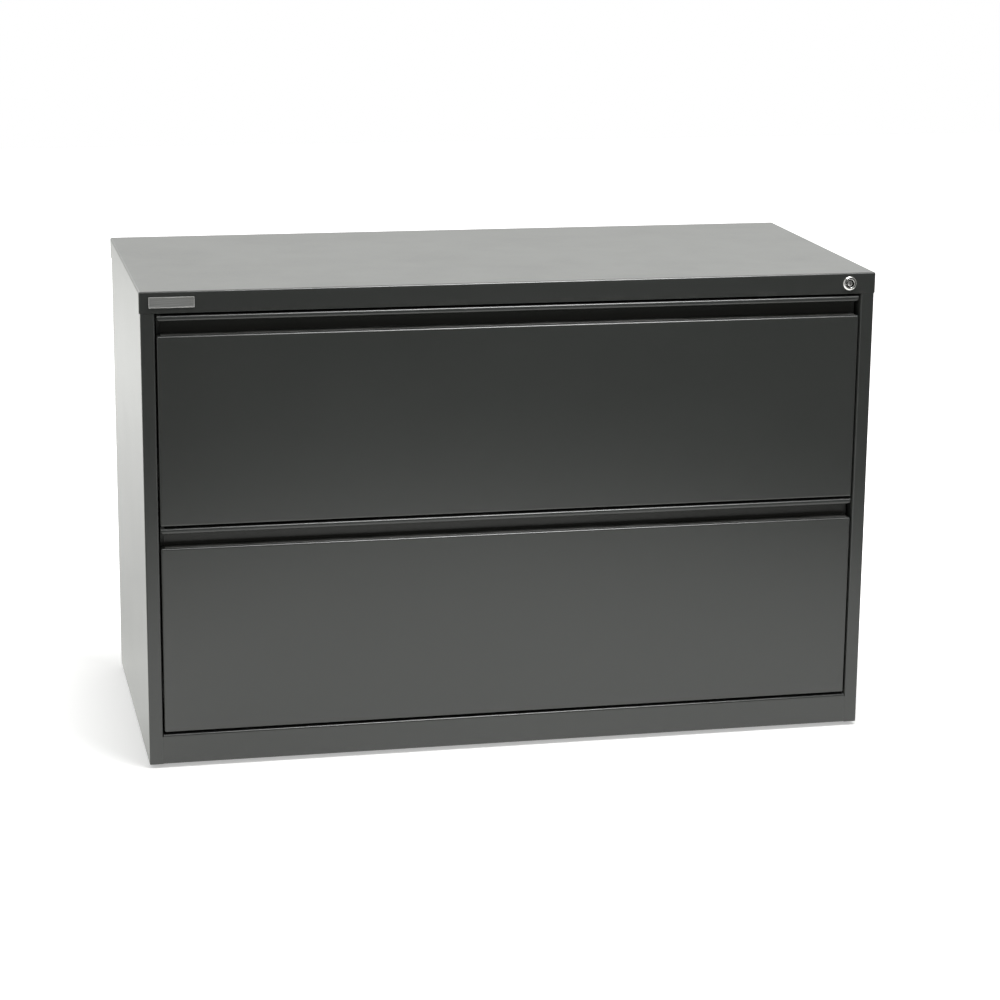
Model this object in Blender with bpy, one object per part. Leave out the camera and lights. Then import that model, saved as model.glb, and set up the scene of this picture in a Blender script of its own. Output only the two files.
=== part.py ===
"""Two-drawer lateral filing cabinet in sheet steel. Metres, +Z up, the front faces -Y.

The origin is on the floor, at the middle of the cabinet's box.
"""

import math

import bmesh
import bpy
from mathutils import Matrix, Vector

# Case, measured over its cap and without the glides
CASE_WIDTH = 1.067
CASE_DEPTH = 0.495
CASE_HEIGHT = 0.686
HEADER_HEIGHT = 0.0305
BASE_RAIL_HEIGHT = 0.044
FLANGE_WIDTH = 0.0195
REAR_RETURN = 0.020

# Sheet metal and fits
SHEET = 0.0012
BEND_RADIUS = 0.002
BEND_STEPS = 3
FIT = 0.0003
FRONT_GAP = 0.0035
SIDE_GAP = 0.0026

# Hidden structure
UPRIGHT_INSET = 0.0005
FRONT_UPRIGHT_DEPTH = 0.042
REAR_UPRIGHT_DEPTH = 0.030
HEADER_CHANNEL_DEPTH = 0.040
HEADER_CHANNEL_LIP = 0.012
BASE_RAIL_TOP_FLANGE = 0.030
BASE_RAIL_FOOT_FLANGE = 0.020
BASE_PAN_HEIGHT = 0.024
COUNTERWEIGHT_SIZE = (0.800, 0.100, 0.020)
COUNTERWEIGHT_FROM_BACK = 0.050

# Drawers
PULL_LIP = 0.0078
PULL_OPENING = 0.0212
PULL_DEPTH = 0.019
PULL_SHELF_SETBACK = 0.002
PULL_END_NOTCH = 0.005
PULL_LIP_DEPTH = 0.003
INNER_FRONT_MARGIN = 0.001
BODY_CLEARANCE = 0.008
BODY_HEIGHT = 0.235
BODY_FLANGE = 0.010
REAR_ROOM = 0.035
HANG_RAIL_HEIGHT = 0.018
HANG_RAIL_THICKNESS = 0.0025
HANG_RAIL_SPACING = 0.317

# Telescopic slides
SLIDE_WIDTH = 0.0127
SLIDE_HEIGHT = 0.046
SLIDE_CENTRE = 0.062
SLIDE_SETBACK = 0.0032
SLIDE_END_ROOM = 0.010
CABINET_MEMBER_FLANGE = 0.0062
MIDDLE_MEMBER_SETBACK = 0.0023
MEMBER_CLEARANCE = 0.0012
CABINET_MEMBER_LAP = 0.020

# Lock
LOCK_FROM_UPRIGHT = 0.0184
LOCK_PROUD = 0.004
LOCK_THROW = math.radians(90)
BEZEL_RADIUS = 0.0105
BEZEL_EDGE = 0.0012
BARREL_RADIUS = 0.0085
BARREL_LENGTH = 0.026
NUT_WALL = 0.0022
NUT_HEIGHT = 0.004
PLUG_RADIUS = 0.0057
PLUG_FACE_RADIUS = 0.00375
PLUG_FACE_STEP = 0.0008
PLUG_SUNK = 0.0008
KEYWAY_WIDTH = 0.0014
KEYWAY_HEIGHT = 0.0056
KEYWAY_DEPTH = 0.009
CAM_HUB_RADIUS = 0.0065
CAM_TIP_RADIUS = 0.0032
CAM_THICKNESS = 0.002
CAM_PIN_RADIUS = 0.0015
CAM_PIN_LENGTH = 0.004
CAM_TO_BAR = 0.0005

# Lock bar
BAR_THICKNESS = 0.002
BAR_FROM_UPRIGHT = 0.0015
BAR_FROM_SIDE = 0.0046
BAR_SLOT_CLEARANCE = 0.0008
BAR_SLOT_RIM = 0.002
BAR_PASSAGE = 0.0015
TAB_CLEARANCE = 0.001
FINGER_FROM_DRAWER = 0.0053
FINGER_HEIGHT = 0.010
FINGER_CLEARANCE = 0.0015
CATCH_HEIGHT = 0.014
CATCH_ABOVE_BOTTOM = 0.150
CATCH_FROM_UPRIGHT = 0.003
CATCH_FOOT = 0.016
CATCH_THICKNESS = 0.002
CATCH_PLAY = 0.0006
GUIDE_ABOVE_CATCH = 0.080
GUIDE_HEIGHT = 0.016
GUIDE_WALL = 0.002
GUIDE_REACH = 0.004

# Name plate
PLATE_WIDTH = 0.0635
PLATE_HEIGHT = 0.0152
PLATE_THICKNESS = 0.0012
PLATE_CORNER = 0.0008
PLATE_FROM_EDGE = 0.0133

# Levelling glides
GLIDE_PROUD = 0.006
GLIDE_INSET = 0.045
GLIDE_SETBACK = 0.055
FOOT_RADIUS = 0.016
FOOT_CHAMFER = 0.003
FOOT_HEIGHT = 0.005
NECK_RADIUS = 0.007
STEM_RADIUS = 0.005
STEM_ABOVE_PAN = 0.021
STEM_HOLE_CLEARANCE = 0.0005
GLIDE_NUT_WALL = 0.0032
GLIDE_NUT_HEIGHT = 0.008

# Modelling
X, Y, Z = 0, 1, 2
ROUND_SEGMENTS = 32
SMOOTH_ANGLE = math.radians(35)
POLE_MERGE = 1e-6
CUTTER_MARGIN = 0.002

# Planes of the case that the pieces share
FRONT = LOCK_PROUD - (CASE_DEPTH + LOCK_PROUD) / 2
BACK = FRONT + CASE_DEPTH
BASE = GLIDE_PROUD
TOP = BASE + CASE_HEIGHT
CAP_HALF = CASE_WIDTH / 2
SIDE_HALF = CAP_HALF - SHEET - FIT
SIDE_INSIDE = SIDE_HALF - SHEET
UNDER_CAP = TOP - SHEET - FIT
HEADER_BOTTOM = TOP - HEADER_HEIGHT
BACK_PANEL_OUTSIDE = BACK - SHEET - FIT
BACK_PANEL_INSIDE = BACK_PANEL_OUTSIDE - SHEET
RETURN_OUTSIDE = BACK_PANEL_INSIDE - FIT
RETURN_INSIDE = RETURN_OUTSIDE - SHEET
PAN_TOP = BASE + BASE_PAN_HEIGHT
FLANGE_EDGE = SIDE_HALF - FLANGE_WIDTH
RUNNER_X = FLANGE_EDGE - UPRIGHT_INSET

# Drawer sizes, in a drawer's own frame: x across, y from its face, z from its bottom edge
DRAWER_HEIGHT = (CASE_HEIGHT - HEADER_HEIGHT - BASE_RAIL_HEIGHT - 3 * FRONT_GAP) / 2
DRAWER_HALF = FLANGE_EDGE - SIDE_GAP
DRAWER_BOTTOMS = {
    "lower": BASE + BASE_RAIL_HEIGHT + FRONT_GAP,
    "upper": BASE + BASE_RAIL_HEIGHT + DRAWER_HEIGHT + 2 * FRONT_GAP,
}
FACE_TOP = DRAWER_HEIGHT - PULL_LIP - PULL_OPENING
BODY_HALF = RUNNER_X - 2 * FIT - SLIDE_WIDTH
BODY_START = PULL_DEPTH + SHEET + 2 * FIT
BODY_END = CASE_DEPTH - REAR_ROOM
BODY_MIDDLE = (BODY_START + BODY_END) / 2
BODY_TOP = BODY_CLEARANCE + BODY_HEIGHT

# Slide members, nested in each other, in a drawer's frame
CABINET_MEMBER_X = RUNNER_X - FIT
MIDDLE_MEMBER_X = CABINET_MEMBER_X - MIDDLE_MEMBER_SETBACK
DRAWER_MEMBER_X = BODY_HALF + FIT
MOVING_MEMBER_FLANGE = SLIDE_WIDTH - MIDDLE_MEMBER_SETBACK - SHEET - MEMBER_CLEARANCE
CABINET_MEMBER_HALF = SLIDE_HEIGHT / 2
MIDDLE_MEMBER_HALF = CABINET_MEMBER_HALF - SHEET - FIT
DRAWER_MEMBER_HALF = MIDDLE_MEMBER_HALF - SHEET - FIT
SLIDE_START = BODY_START + SLIDE_SETBACK
SLIDE_END = BODY_END - SLIDE_END_ROOM
REAR_UPRIGHT_START = RETURN_INSIDE - FIT - REAR_UPRIGHT_DEPTH
CABINET_MEMBER_END = REAR_UPRIGHT_START + CABINET_MEMBER_LAP - FRONT

# Lock places: the cam swings as far as the bar's tab has room for in the header
LOCK_X = RUNNER_X - LOCK_FROM_UPRIGHT
LOCK_Z = TOP - HEADER_HEIGHT / 2
CAM_START = BARREL_LENGTH + FIT
BAR_START = CAM_START + CAM_THICKNESS + CAM_TO_BAR
SLOT_HALF = CAM_PIN_RADIUS + BAR_SLOT_CLEARANCE
TAB_HALF = SLOT_HALF + BAR_SLOT_RIM
BAR_LIFT = HEADER_HEIGHT - 2 * (SHEET + FIT + TAB_HALF + TAB_CLEARANCE)
CAM_RADIUS = BAR_LIFT / 2 / math.sin(LOCK_THROW / 2)
BAR_TAB_Z = LOCK_Z - BAR_LIFT / 2
BAR_INNER_X = RUNNER_X + SHEET + BAR_FROM_UPRIGHT
BAR_OUTER_X = SIDE_INSIDE - BAR_FROM_SIDE
SLOT_X = (
    LOCK_X + CAM_RADIUS * math.cos(LOCK_THROW / 2) - SLOT_HALF,
    LOCK_X + CAM_RADIUS + SLOT_HALF,
)

SIDES = {"left": -1, "right": 1}


# Materials

FINISHES = {
    "charcoal_paint": ((0.046, 0.047, 0.044), 0.42, 0.0),
    "zinc_steel": ((0.52, 0.53, 0.54), 0.38, 1.0),
    "chrome": ((0.70, 0.70, 0.70), 0.15, 1.0),
    "brushed_plate": ((0.60, 0.60, 0.59), 0.35, 1.0),
    "dark_plug": ((0.12, 0.12, 0.12), 0.30, 1.0),
    "raw_iron": ((0.16, 0.15, 0.14), 0.60, 1.0),
    "nylon": ((0.55, 0.54, 0.50), 0.55, 0.0),
}


def finish(name):
    material = bpy.data.materials.get(name)
    if material:
        return material
    color, roughness, metallic = FINISHES[name]
    material = bpy.data.materials.new(name)
    material.use_nodes = True
    shader = material.node_tree.nodes["Principled BSDF"]
    shader.inputs["Base Color"].default_value = (*color, 1.0)
    shader.inputs["Roughness"].default_value = roughness
    shader.inputs["Metallic"].default_value = metallic
    return material


# Scene objects


def clear_scene():
    for obj in list(bpy.data.objects):
        bpy.data.objects.remove(obj, do_unlink=True)


def frame(name, location):
    """An empty at a joint or a reference point, which carries its pieces."""
    empty = bpy.data.objects.new(name, None)
    empty.location = location
    bpy.context.collection.objects.link(empty)
    return empty


def add(name, mesh_builder, parent, finish_name, smooth=False):
    mesh = bpy.data.meshes.new(name)
    bmesh.ops.recalc_face_normals(mesh_builder, faces=mesh_builder.faces)
    mesh_builder.to_mesh(mesh)
    mesh_builder.free()
    if smooth:
        mesh.shade_smooth()
        mesh.set_sharp_from_angle(angle=SMOOTH_ANGLE)
    obj = bpy.data.objects.new(name, mesh)
    obj.data.materials.append(finish(finish_name))
    obj.parent = parent
    bpy.context.collection.objects.link(obj)
    return obj


def combine(obj, other_builder, operation):
    """Cuts other_builder's shape out of obj, or joins it to obj, with a Boolean."""
    tool = add(obj.name + "_tool", other_builder, obj.parent, "raw_iron")
    tool.hide_render = True
    tool.display_type = "WIRE"
    boolean = obj.modifiers.new(operation.lower(), "BOOLEAN")
    boolean.operation = operation
    boolean.solver = "EXACT"
    boolean.object = tool


# Shapes


def block(low, high):
    builder = bmesh.new()
    bmesh.ops.create_cube(builder, size=1.0)
    low, high = Vector(low), Vector(high)
    size = Matrix.Diagonal(high - low).to_4x4()
    bmesh.ops.transform(builder, matrix=Matrix.Translation((low + high) / 2) @ size, verts=builder.verts)
    return builder


def prism(outline, axis, start, end):
    """A closed outline run along an axis. The outline's two coordinates are the other two axes, in order."""
    builder = bmesh.new()
    verts = []
    for first, second in outline:
        place = [first, second]
        place.insert(axis, start)
        verts.append(builder.verts.new(place))
    face = builder.faces.new(verts)
    extruded = bmesh.ops.extrude_face_region(builder, geom=[face])
    moved = [item for item in extruded["geom"] if isinstance(item, bmesh.types.BMVert)]
    step = Vector((0, 0, 0))
    step[axis] = end - start
    bmesh.ops.translate(builder, verts=moved, vec=step)
    return builder


def bend(before, corner, after, radius):
    """Points of the arc that rounds a corner of a path."""
    into = (corner - before).normalized()
    out = (after - corner).normalized()
    turn = math.atan2(into.cross(out), into.dot(out))
    if radius <= 0:
        return [corner]
    run = radius * math.tan(abs(turn) / 2)
    inward = Vector((-into.y, into.x)) * math.copysign(radius, turn)
    centre = corner - into * run + inward
    points = []
    for step in range(BEND_STEPS + 1):
        points.append(centre + Matrix.Rotation(turn * step / BEND_STEPS, 2) @ -inward)
    return points


def rounded(path, radius):
    points = [path[0]]
    for before, corner, after in zip(path, path[1:], path[2:]):
        points += bend(before, corner, after, radius)
    points.append(path[-1])
    return points


def folded(path):
    """Outline of a folded sheet: path is its outer face, and the sheet lies inside the folds."""
    path = [Vector(point) for point in path]
    runs = [(after - before).normalized() for before, after in zip(path, path[1:])]
    inside = math.copysign(SHEET, runs[0].cross(runs[1]))
    normals = [Vector((-run.y, run.x)) * inside for run in runs]
    inner = [path[0] + normals[0]]
    for corner, normal, following in zip(path[1:], normals, normals[1:]):
        inner.append(corner + normal + following)
    inner.append(path[-1] + normals[-1])
    outline = rounded(path, BEND_RADIUS) + rounded(inner, BEND_RADIUS - SHEET)[::-1]
    return [tuple(point) for point in outline]


def mirrored(outline, side):
    return [(side * first, second) for first, second in outline]


def tray(low, high, open_side):
    """A folded box of sheet metal, open towards open_side."""
    builder = block(low, high)
    toward = Vector(open_side)
    mouth = max(builder.faces, key=lambda face: face.normal.dot(toward))
    folds = [edge for edge in builder.edges if edge not in mouth.edges[:]]
    bmesh.ops.bevel(
        builder, geom=folds, offset=BEND_RADIUS, segments=BEND_STEPS, profile=0.5, affect="EDGES"
    )
    mouth = max(builder.faces, key=lambda face: face.normal.dot(toward) * face.calc_area())
    bmesh.ops.inset_region(builder, faces=[mouth], thickness=SHEET, use_even_offset=True)
    depth = abs((Vector(high) - Vector(low)).dot(toward))
    bmesh.ops.translate(builder, verts=mouth.verts, vec=-toward * (depth - SHEET))
    return builder


def turned(profile, axis, closed):
    """A profile of (radius, distance along the axis) points turned about the axis."""
    builder = bmesh.new()
    across = X if axis != X else Y
    verts = []
    for radius, along in profile:
        place = Vector((0, 0, 0))
        place[across] = radius
        place[axis] = along
        verts.append(builder.verts.new(place))
    pairs = list(zip(verts, verts[1:]))
    if closed:
        pairs.append((verts[-1], verts[0]))
    edges = [builder.edges.new(pair) for pair in pairs]
    spin_axis = Vector((0, 0, 0))
    spin_axis[axis] = 1
    bmesh.ops.spin(
        builder, geom=verts + edges, cent=(0, 0, 0), axis=spin_axis, angle=math.tau,
        steps=ROUND_SEGMENTS, use_merge=True,
    )
    bmesh.ops.remove_doubles(builder, verts=builder.verts, dist=POLE_MERGE)
    return builder


def rod(radius, axis, start, end):
    return turned([(0, start), (radius, start), (radius, end), (0, end)], axis, closed=False)


def hexagon(flat_distance):
    """Corners of a hexagon whose flats lie flat_distance from its middle."""
    corner = flat_distance / math.cos(math.pi / 6)
    angles = [math.pi / 3 * step for step in range(6)]
    return [(corner * math.cos(angle), corner * math.sin(angle)) for angle in angles]


def moved_builder(builder, offset):
    bmesh.ops.translate(builder, verts=builder.verts, vec=offset)
    return builder


# Case


def build_top_panel(case):
    panel = add(
        "top_panel",
        tray((-CAP_HALF, FRONT, HEADER_BOTTOM), (CAP_HALF, BACK, TOP), (0, 0, -1)),
        case, "charcoal_paint",
    )
    combine(panel, barrel_hole(), "DIFFERENCE")


def barrel_hole():
    behind = FRONT + 2 * (SHEET + FIT) + CUTTER_MARGIN
    hole = rod(BARREL_RADIUS + FIT, Y, FRONT - CUTTER_MARGIN, behind)
    return moved_builder(hole, (LOCK_X, 0, LOCK_Z))


def build_side_panels(case):
    for name, side in SIDES.items():
        path = [
            (FLANGE_EDGE, FRONT),
            (SIDE_HALF, FRONT),
            (SIDE_HALF, RETURN_OUTSIDE),
            (SIDE_HALF - REAR_RETURN, RETURN_OUTSIDE),
        ]
        panel = add(
            name + "_side_panel",
            prism(mirrored(folded(path), side), Z, BASE, UNDER_CAP),
            case, "charcoal_paint",
        )
        # The front flange stops below the header
        reach = SIDE_HALF + CUTTER_MARGIN
        notch = block(
            (-reach, FRONT - CUTTER_MARGIN, HEADER_BOTTOM - FIT),
            (reach, FRONT + SHEET + FIT, TOP + CUTTER_MARGIN),
        )
        combine(panel, notch, "DIFFERENCE")


def build_back_panel(case):
    add(
        "back_panel",
        block((-SIDE_HALF, BACK_PANEL_INSIDE, BASE), (SIDE_HALF, BACK_PANEL_OUTSIDE, UNDER_CAP)),
        case, "charcoal_paint",
    )


def build_base(case):
    top = BASE + BASE_RAIL_HEIGHT
    path = [
        (FRONT + BASE_RAIL_TOP_FLANGE, top),
        (FRONT, top),
        (FRONT, BASE),
        (FRONT + BASE_RAIL_FOOT_FLANGE, BASE),
    ]
    half = RUNNER_X - FIT
    add("base_front_rail", prism(folded(path), X, -half, half), case, "charcoal_paint")

    pan_half = SIDE_INSIDE - FIT
    pan = add(
        "base_pan",
        tray(
            (-pan_half, FRONT + BASE_RAIL_FOOT_FLANGE + FIT, BASE),
            (pan_half, RETURN_INSIDE - FIT, PAN_TOP),
            (0, 0, -1),
        ),
        case, "charcoal_paint",
    )
    for x, y in glide_places().values():
        hole = rod(
            STEM_RADIUS + STEM_HOLE_CLEARANCE, Z, PAN_TOP - SHEET - CUTTER_MARGIN, PAN_TOP + CUTTER_MARGIN
        )
        combine(pan, moved_builder(hole, (x, y, 0)), "DIFFERENCE")

    width, depth, height = COUNTERWEIGHT_SIZE
    rear = BACK - COUNTERWEIGHT_FROM_BACK
    floor = PAN_TOP + FIT
    add(
        "counterweight",
        block((-width / 2, rear - depth, floor), (width / 2, rear, floor + height)),
        case, "raw_iron",
    )


def build_header_channel(case):
    start = FRONT + SHEET + FIT
    path = [
        (start, UNDER_CAP),
        (start, HEADER_BOTTOM),
        (start + HEADER_CHANNEL_DEPTH, HEADER_BOTTOM),
        (start + HEADER_CHANNEL_DEPTH, HEADER_BOTTOM + HEADER_CHANNEL_LIP),
    ]
    half = RUNNER_X - FIT
    channel = add("header_channel", prism(folded(path), X, -half, half), case, "charcoal_paint")
    combine(channel, barrel_hole(), "DIFFERENCE")


def build_uprights(case):
    front_start = FRONT + SHEET + FIT
    spans = {
        "front": (front_start, front_start + FRONT_UPRIGHT_DEPTH),
        "rear": (REAR_UPRIGHT_START, REAR_UPRIGHT_START + REAR_UPRIGHT_DEPTH),
    }
    outer = SIDE_INSIDE - FIT
    for end, (start, stop) in spans.items():
        path = [(outer, start), (RUNNER_X, start), (RUNNER_X, stop), (outer, stop)]
        for name, side in SIDES.items():
            upright = add(
                "%s_%s_upright" % (end, name),
                prism(mirrored(folded(path), side), Z, PAN_TOP + FIT, UNDER_CAP),
                case, "charcoal_paint",
            )
            if (end, name) == ("front", "right"):
                cut_bar_passages(upright)


def cut_bar_passages(upright):
    """Slots that the cam and the lock bar's tab and fingers reach through, as long as the bar's lift."""
    depth = (FRONT + CAM_START - BAR_PASSAGE, FRONT + BAR_START + BAR_THICKNESS + BAR_PASSAGE)
    heights = [(BAR_TAB_Z - TAB_HALF, UNDER_CAP)]
    heights += [(low, high + BAR_LIFT) for low, high in finger_heights().values()]
    for low, high in heights:
        slot = block(
            (RUNNER_X - CUTTER_MARGIN, depth[0], low - BAR_PASSAGE),
            (RUNNER_X + SHEET + CUTTER_MARGIN, depth[1], high + BAR_PASSAGE),
        )
        combine(upright, slot, "DIFFERENCE")


def build_name_plate(case):
    left = PLATE_FROM_EDGE - CAP_HALF
    low = LOCK_Z - PLATE_HEIGHT / 2
    corners = [(left, low), (left + PLATE_WIDTH, low)]
    corners += [(x, low + PLATE_HEIGHT) for x, _ in corners[::-1]]
    corners = [Vector(corner) for corner in corners]
    outline = []
    for index, corner in enumerate(corners):
        outline += bend(corners[index - 1], corner, corners[(index + 1) % 4], PLATE_CORNER)
    outline = [tuple(point) for point in outline]
    rear = FRONT - FIT
    add("name_plate", prism(outline, Y, rear - PLATE_THICKNESS, rear), case, "brushed_plate")


# Slides


def member(web, flange, half_height, side):
    """Section of one slide member about the slide's centre: the web's outer face and the flanges' reach."""
    edge = web + flange
    path = [(edge, -half_height), (web, -half_height), (web, half_height), (edge, half_height)]
    return mirrored(folded(path), side)


def slide_shape(section, start, end):
    return moved_builder(prism(section, Y, start, end), (0, 0, SLIDE_CENTRE))


def build_slides(level, case_frame, middle_frame, drawer_frame):
    for name, side in SIDES.items():
        label = "%s_%s_slide_" % (level, name)
        section = member(CABINET_MEMBER_X, -CABINET_MEMBER_FLANGE, CABINET_MEMBER_HALF, side)
        add(label + "cabinet_member", slide_shape(section, SLIDE_START, CABINET_MEMBER_END),
            case_frame, "zinc_steel")
        section = member(MIDDLE_MEMBER_X, -MOVING_MEMBER_FLANGE, MIDDLE_MEMBER_HALF, side)
        add(label + "middle_member", slide_shape(section, SLIDE_START, SLIDE_END), middle_frame, "zinc_steel")
        section = member(DRAWER_MEMBER_X, MOVING_MEMBER_FLANGE, DRAWER_MEMBER_HALF, side)
        add(label + "drawer_member", slide_shape(section, SLIDE_START, SLIDE_END), drawer_frame, "zinc_steel")


# Drawers


def build_drawer(level, drawer):
    add(
        level + "_drawer_face",
        tray((-DRAWER_HALF, 0, 0), (DRAWER_HALF, PULL_DEPTH, FACE_TOP), (0, 1, 0)),
        drawer, "charcoal_paint",
    )
    build_pull_channel(level, drawer)
    half = DRAWER_HALF - INNER_FRONT_MARGIN
    start = PULL_DEPTH + FIT
    add(
        level + "_drawer_inner_front",
        block(
            (-half, start, INNER_FRONT_MARGIN),
            (half, start + SHEET, DRAWER_HEIGHT - INNER_FRONT_MARGIN),
        ),
        drawer, "charcoal_paint",
    )
    build_drawer_body(level, drawer)
    build_hang_rails(level, drawer)
    build_lock_catch(level, drawer)


def build_pull_channel(level, drawer):
    shelf = FACE_TOP + FIT
    path = [
        (0, DRAWER_HEIGHT - PULL_LIP),
        (0, DRAWER_HEIGHT),
        (PULL_DEPTH, DRAWER_HEIGHT),
        (PULL_DEPTH, shelf),
        (PULL_SHELF_SETBACK, shelf),
    ]
    channel = add(
        level + "_pull_channel", prism(folded(path), X, -DRAWER_HALF, DRAWER_HALF), drawer, "charcoal_paint"
    )
    # Behind the lip the channel stops short of the drawer's ends
    for side in SIDES.values():
        ends = sorted((side * (DRAWER_HALF - PULL_END_NOTCH), side * (DRAWER_HALF + CUTTER_MARGIN)))
        notch = block(
            (ends[0], PULL_LIP_DEPTH, shelf - CUTTER_MARGIN),
            (ends[1], PULL_DEPTH + CUTTER_MARGIN, DRAWER_HEIGHT + CUTTER_MARGIN),
        )
        combine(channel, notch, "DIFFERENCE")
        shelf_end = block(
            (ends[0], -CUTTER_MARGIN, shelf - CUTTER_MARGIN),
            (ends[1], PULL_DEPTH, DRAWER_HEIGHT - PULL_LIP - CUTTER_MARGIN),
        )
        combine(channel, shelf_end, "DIFFERENCE")


def build_drawer_body(level, drawer):
    path = [(BODY_HALF, BODY_CLEARANCE), (BODY_HALF, BODY_TOP), (BODY_HALF - BODY_FLANGE, BODY_TOP)]
    for name, side in SIDES.items():
        add(
            "%s_drawer_%s_side" % (level, name),
            prism(mirrored(folded(path), side), Y, BODY_START, BODY_END),
            drawer, "charcoal_paint",
        )
    inside = BODY_HALF - SHEET - FIT
    back_start = BODY_END - SHEET
    floor_top = BODY_CLEARANCE + SHEET
    add(
        level + "_drawer_bottom",
        block((-inside, BODY_START, BODY_CLEARANCE), (inside, back_start - FIT, floor_top)),
        drawer, "charcoal_paint",
    )
    add(
        level + "_drawer_back",
        block((-inside, back_start, BODY_CLEARANCE), (inside, BODY_END, BODY_TOP - SHEET - FIT)),
        drawer, "charcoal_paint",
    )


def build_hang_rails(level, drawer):
    half = BODY_HALF - SHEET - FIT
    top = BODY_TOP - SHEET - FIT
    places = {"front": BODY_MIDDLE - HANG_RAIL_SPACING / 2, "rear": BODY_MIDDLE + HANG_RAIL_SPACING / 2}
    for name, middle in places.items():
        start = middle - HANG_RAIL_THICKNESS / 2
        add(
            "%s_%s_hang_rail" % (level, name),
            block((-half, start, top - HANG_RAIL_HEIGHT), (half, start + HANG_RAIL_THICKNESS, top)),
            drawer, "zinc_steel",
        )


def build_lock_catch(level, drawer):
    seat = BODY_HALF + FIT
    tip = RUNNER_X - CATCH_FROM_UPRIGHT
    start = BAR_START + BAR_THICKNESS + CATCH_PLAY
    outline = [
        (seat, start),
        (tip, start),
        (tip, start + CATCH_THICKNESS),
        (seat + CATCH_THICKNESS, start + CATCH_THICKNESS),
        (seat + CATCH_THICKNESS, start + CATCH_FOOT),
        (seat, start + CATCH_FOOT),
    ]
    add(
        level + "_lock_catch",
        prism(outline, Z, CATCH_ABOVE_BOTTOM, CATCH_ABOVE_BOTTOM + CATCH_HEIGHT),
        drawer, "zinc_steel",
    )


# Lock: its frame is on the plug's axis, in the front plane


def build_lock_housing(lock_seat):
    bore = PLUG_RADIUS + FIT
    profile = [
        (bore, -LOCK_PROUD),
        (BEZEL_RADIUS - BEZEL_EDGE, -LOCK_PROUD),
        (BEZEL_RADIUS, BEZEL_EDGE - LOCK_PROUD),
        (BEZEL_RADIUS, -FIT),
        (BARREL_RADIUS, -FIT),
        (BARREL_RADIUS, BARREL_LENGTH),
        (bore, BARREL_LENGTH),
    ]
    add("lock_housing", turned(profile, Y, closed=True), lock_seat, "chrome", smooth=True)

    start = 2 * SHEET + 2 * FIT
    bore = BARREL_RADIUS + FIT
    nut = add(
        "lock_nut", prism(hexagon(bore + NUT_WALL), Y, start, start + NUT_HEIGHT), lock_seat, "zinc_steel"
    )
    hole = rod(bore, Y, start - CUTTER_MARGIN, start + NUT_HEIGHT + CUTTER_MARGIN)
    combine(nut, hole, "DIFFERENCE")


def build_lock_plug(lock_turn):
    face = PLUG_SUNK - LOCK_PROUD
    shoulder = face + PLUG_FACE_STEP
    profile = [
        (0, face),
        (PLUG_FACE_RADIUS, face),
        (PLUG_FACE_RADIUS, shoulder),
        (PLUG_RADIUS, shoulder),
        (PLUG_RADIUS, BARREL_LENGTH),
        (0, BARREL_LENGTH),
    ]
    plug = add("lock_plug", turned(profile, Y, closed=False), lock_turn, "dark_plug", smooth=True)
    keyway = block(
        (-KEYWAY_WIDTH / 2, face - CUTTER_MARGIN, -KEYWAY_HEIGHT / 2),
        (KEYWAY_WIDTH / 2, face + KEYWAY_DEPTH, KEYWAY_HEIGHT / 2),
    )
    combine(plug, keyway, "DIFFERENCE")
    build_lock_cam(lock_turn)


def build_lock_cam(lock_turn):
    """The cam's arm points down and to the right at rest, half the throw below level."""
    arm = -LOCK_THROW / 2
    spread = math.acos((CAM_HUB_RADIUS - CAM_TIP_RADIUS) / CAM_RADIUS)
    tip = Vector((math.cos(arm), math.sin(arm))) * CAM_RADIUS
    outline = arc_points(Vector((0, 0)), CAM_HUB_RADIUS, arm + spread, arm + math.tau - spread)
    outline += arc_points(tip, CAM_TIP_RADIUS, arm - spread, arm + spread)
    end = CAM_START + CAM_THICKNESS
    cam = add("lock_cam", prism(outline, Y, CAM_START, end), lock_turn, "zinc_steel")
    pin = rod(CAM_PIN_RADIUS, Y, end - CAM_THICKNESS / 2, end + CAM_PIN_LENGTH)
    combine(cam, moved_builder(pin, (tip.x, 0, tip.y)), "UNION")


def arc_points(centre, radius, start, end):
    points = []
    for step in range(ROUND_SEGMENTS // 2 + 1):
        angle = start + (end - start) * step / (ROUND_SEGMENTS // 2)
        points.append((centre.x + radius * math.cos(angle), centre.y + radius * math.sin(angle)))
    return points


def finger_heights():
    """Lowest and highest z of each finger at rest, just under the catch of its drawer."""
    heights = {}
    for level, bottom in DRAWER_BOTTOMS.items():
        high = bottom + CATCH_ABOVE_BOTTOM - FINGER_CLEARANCE
        heights[level] = (high - FINGER_HEIGHT, high)
    return heights


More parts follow.
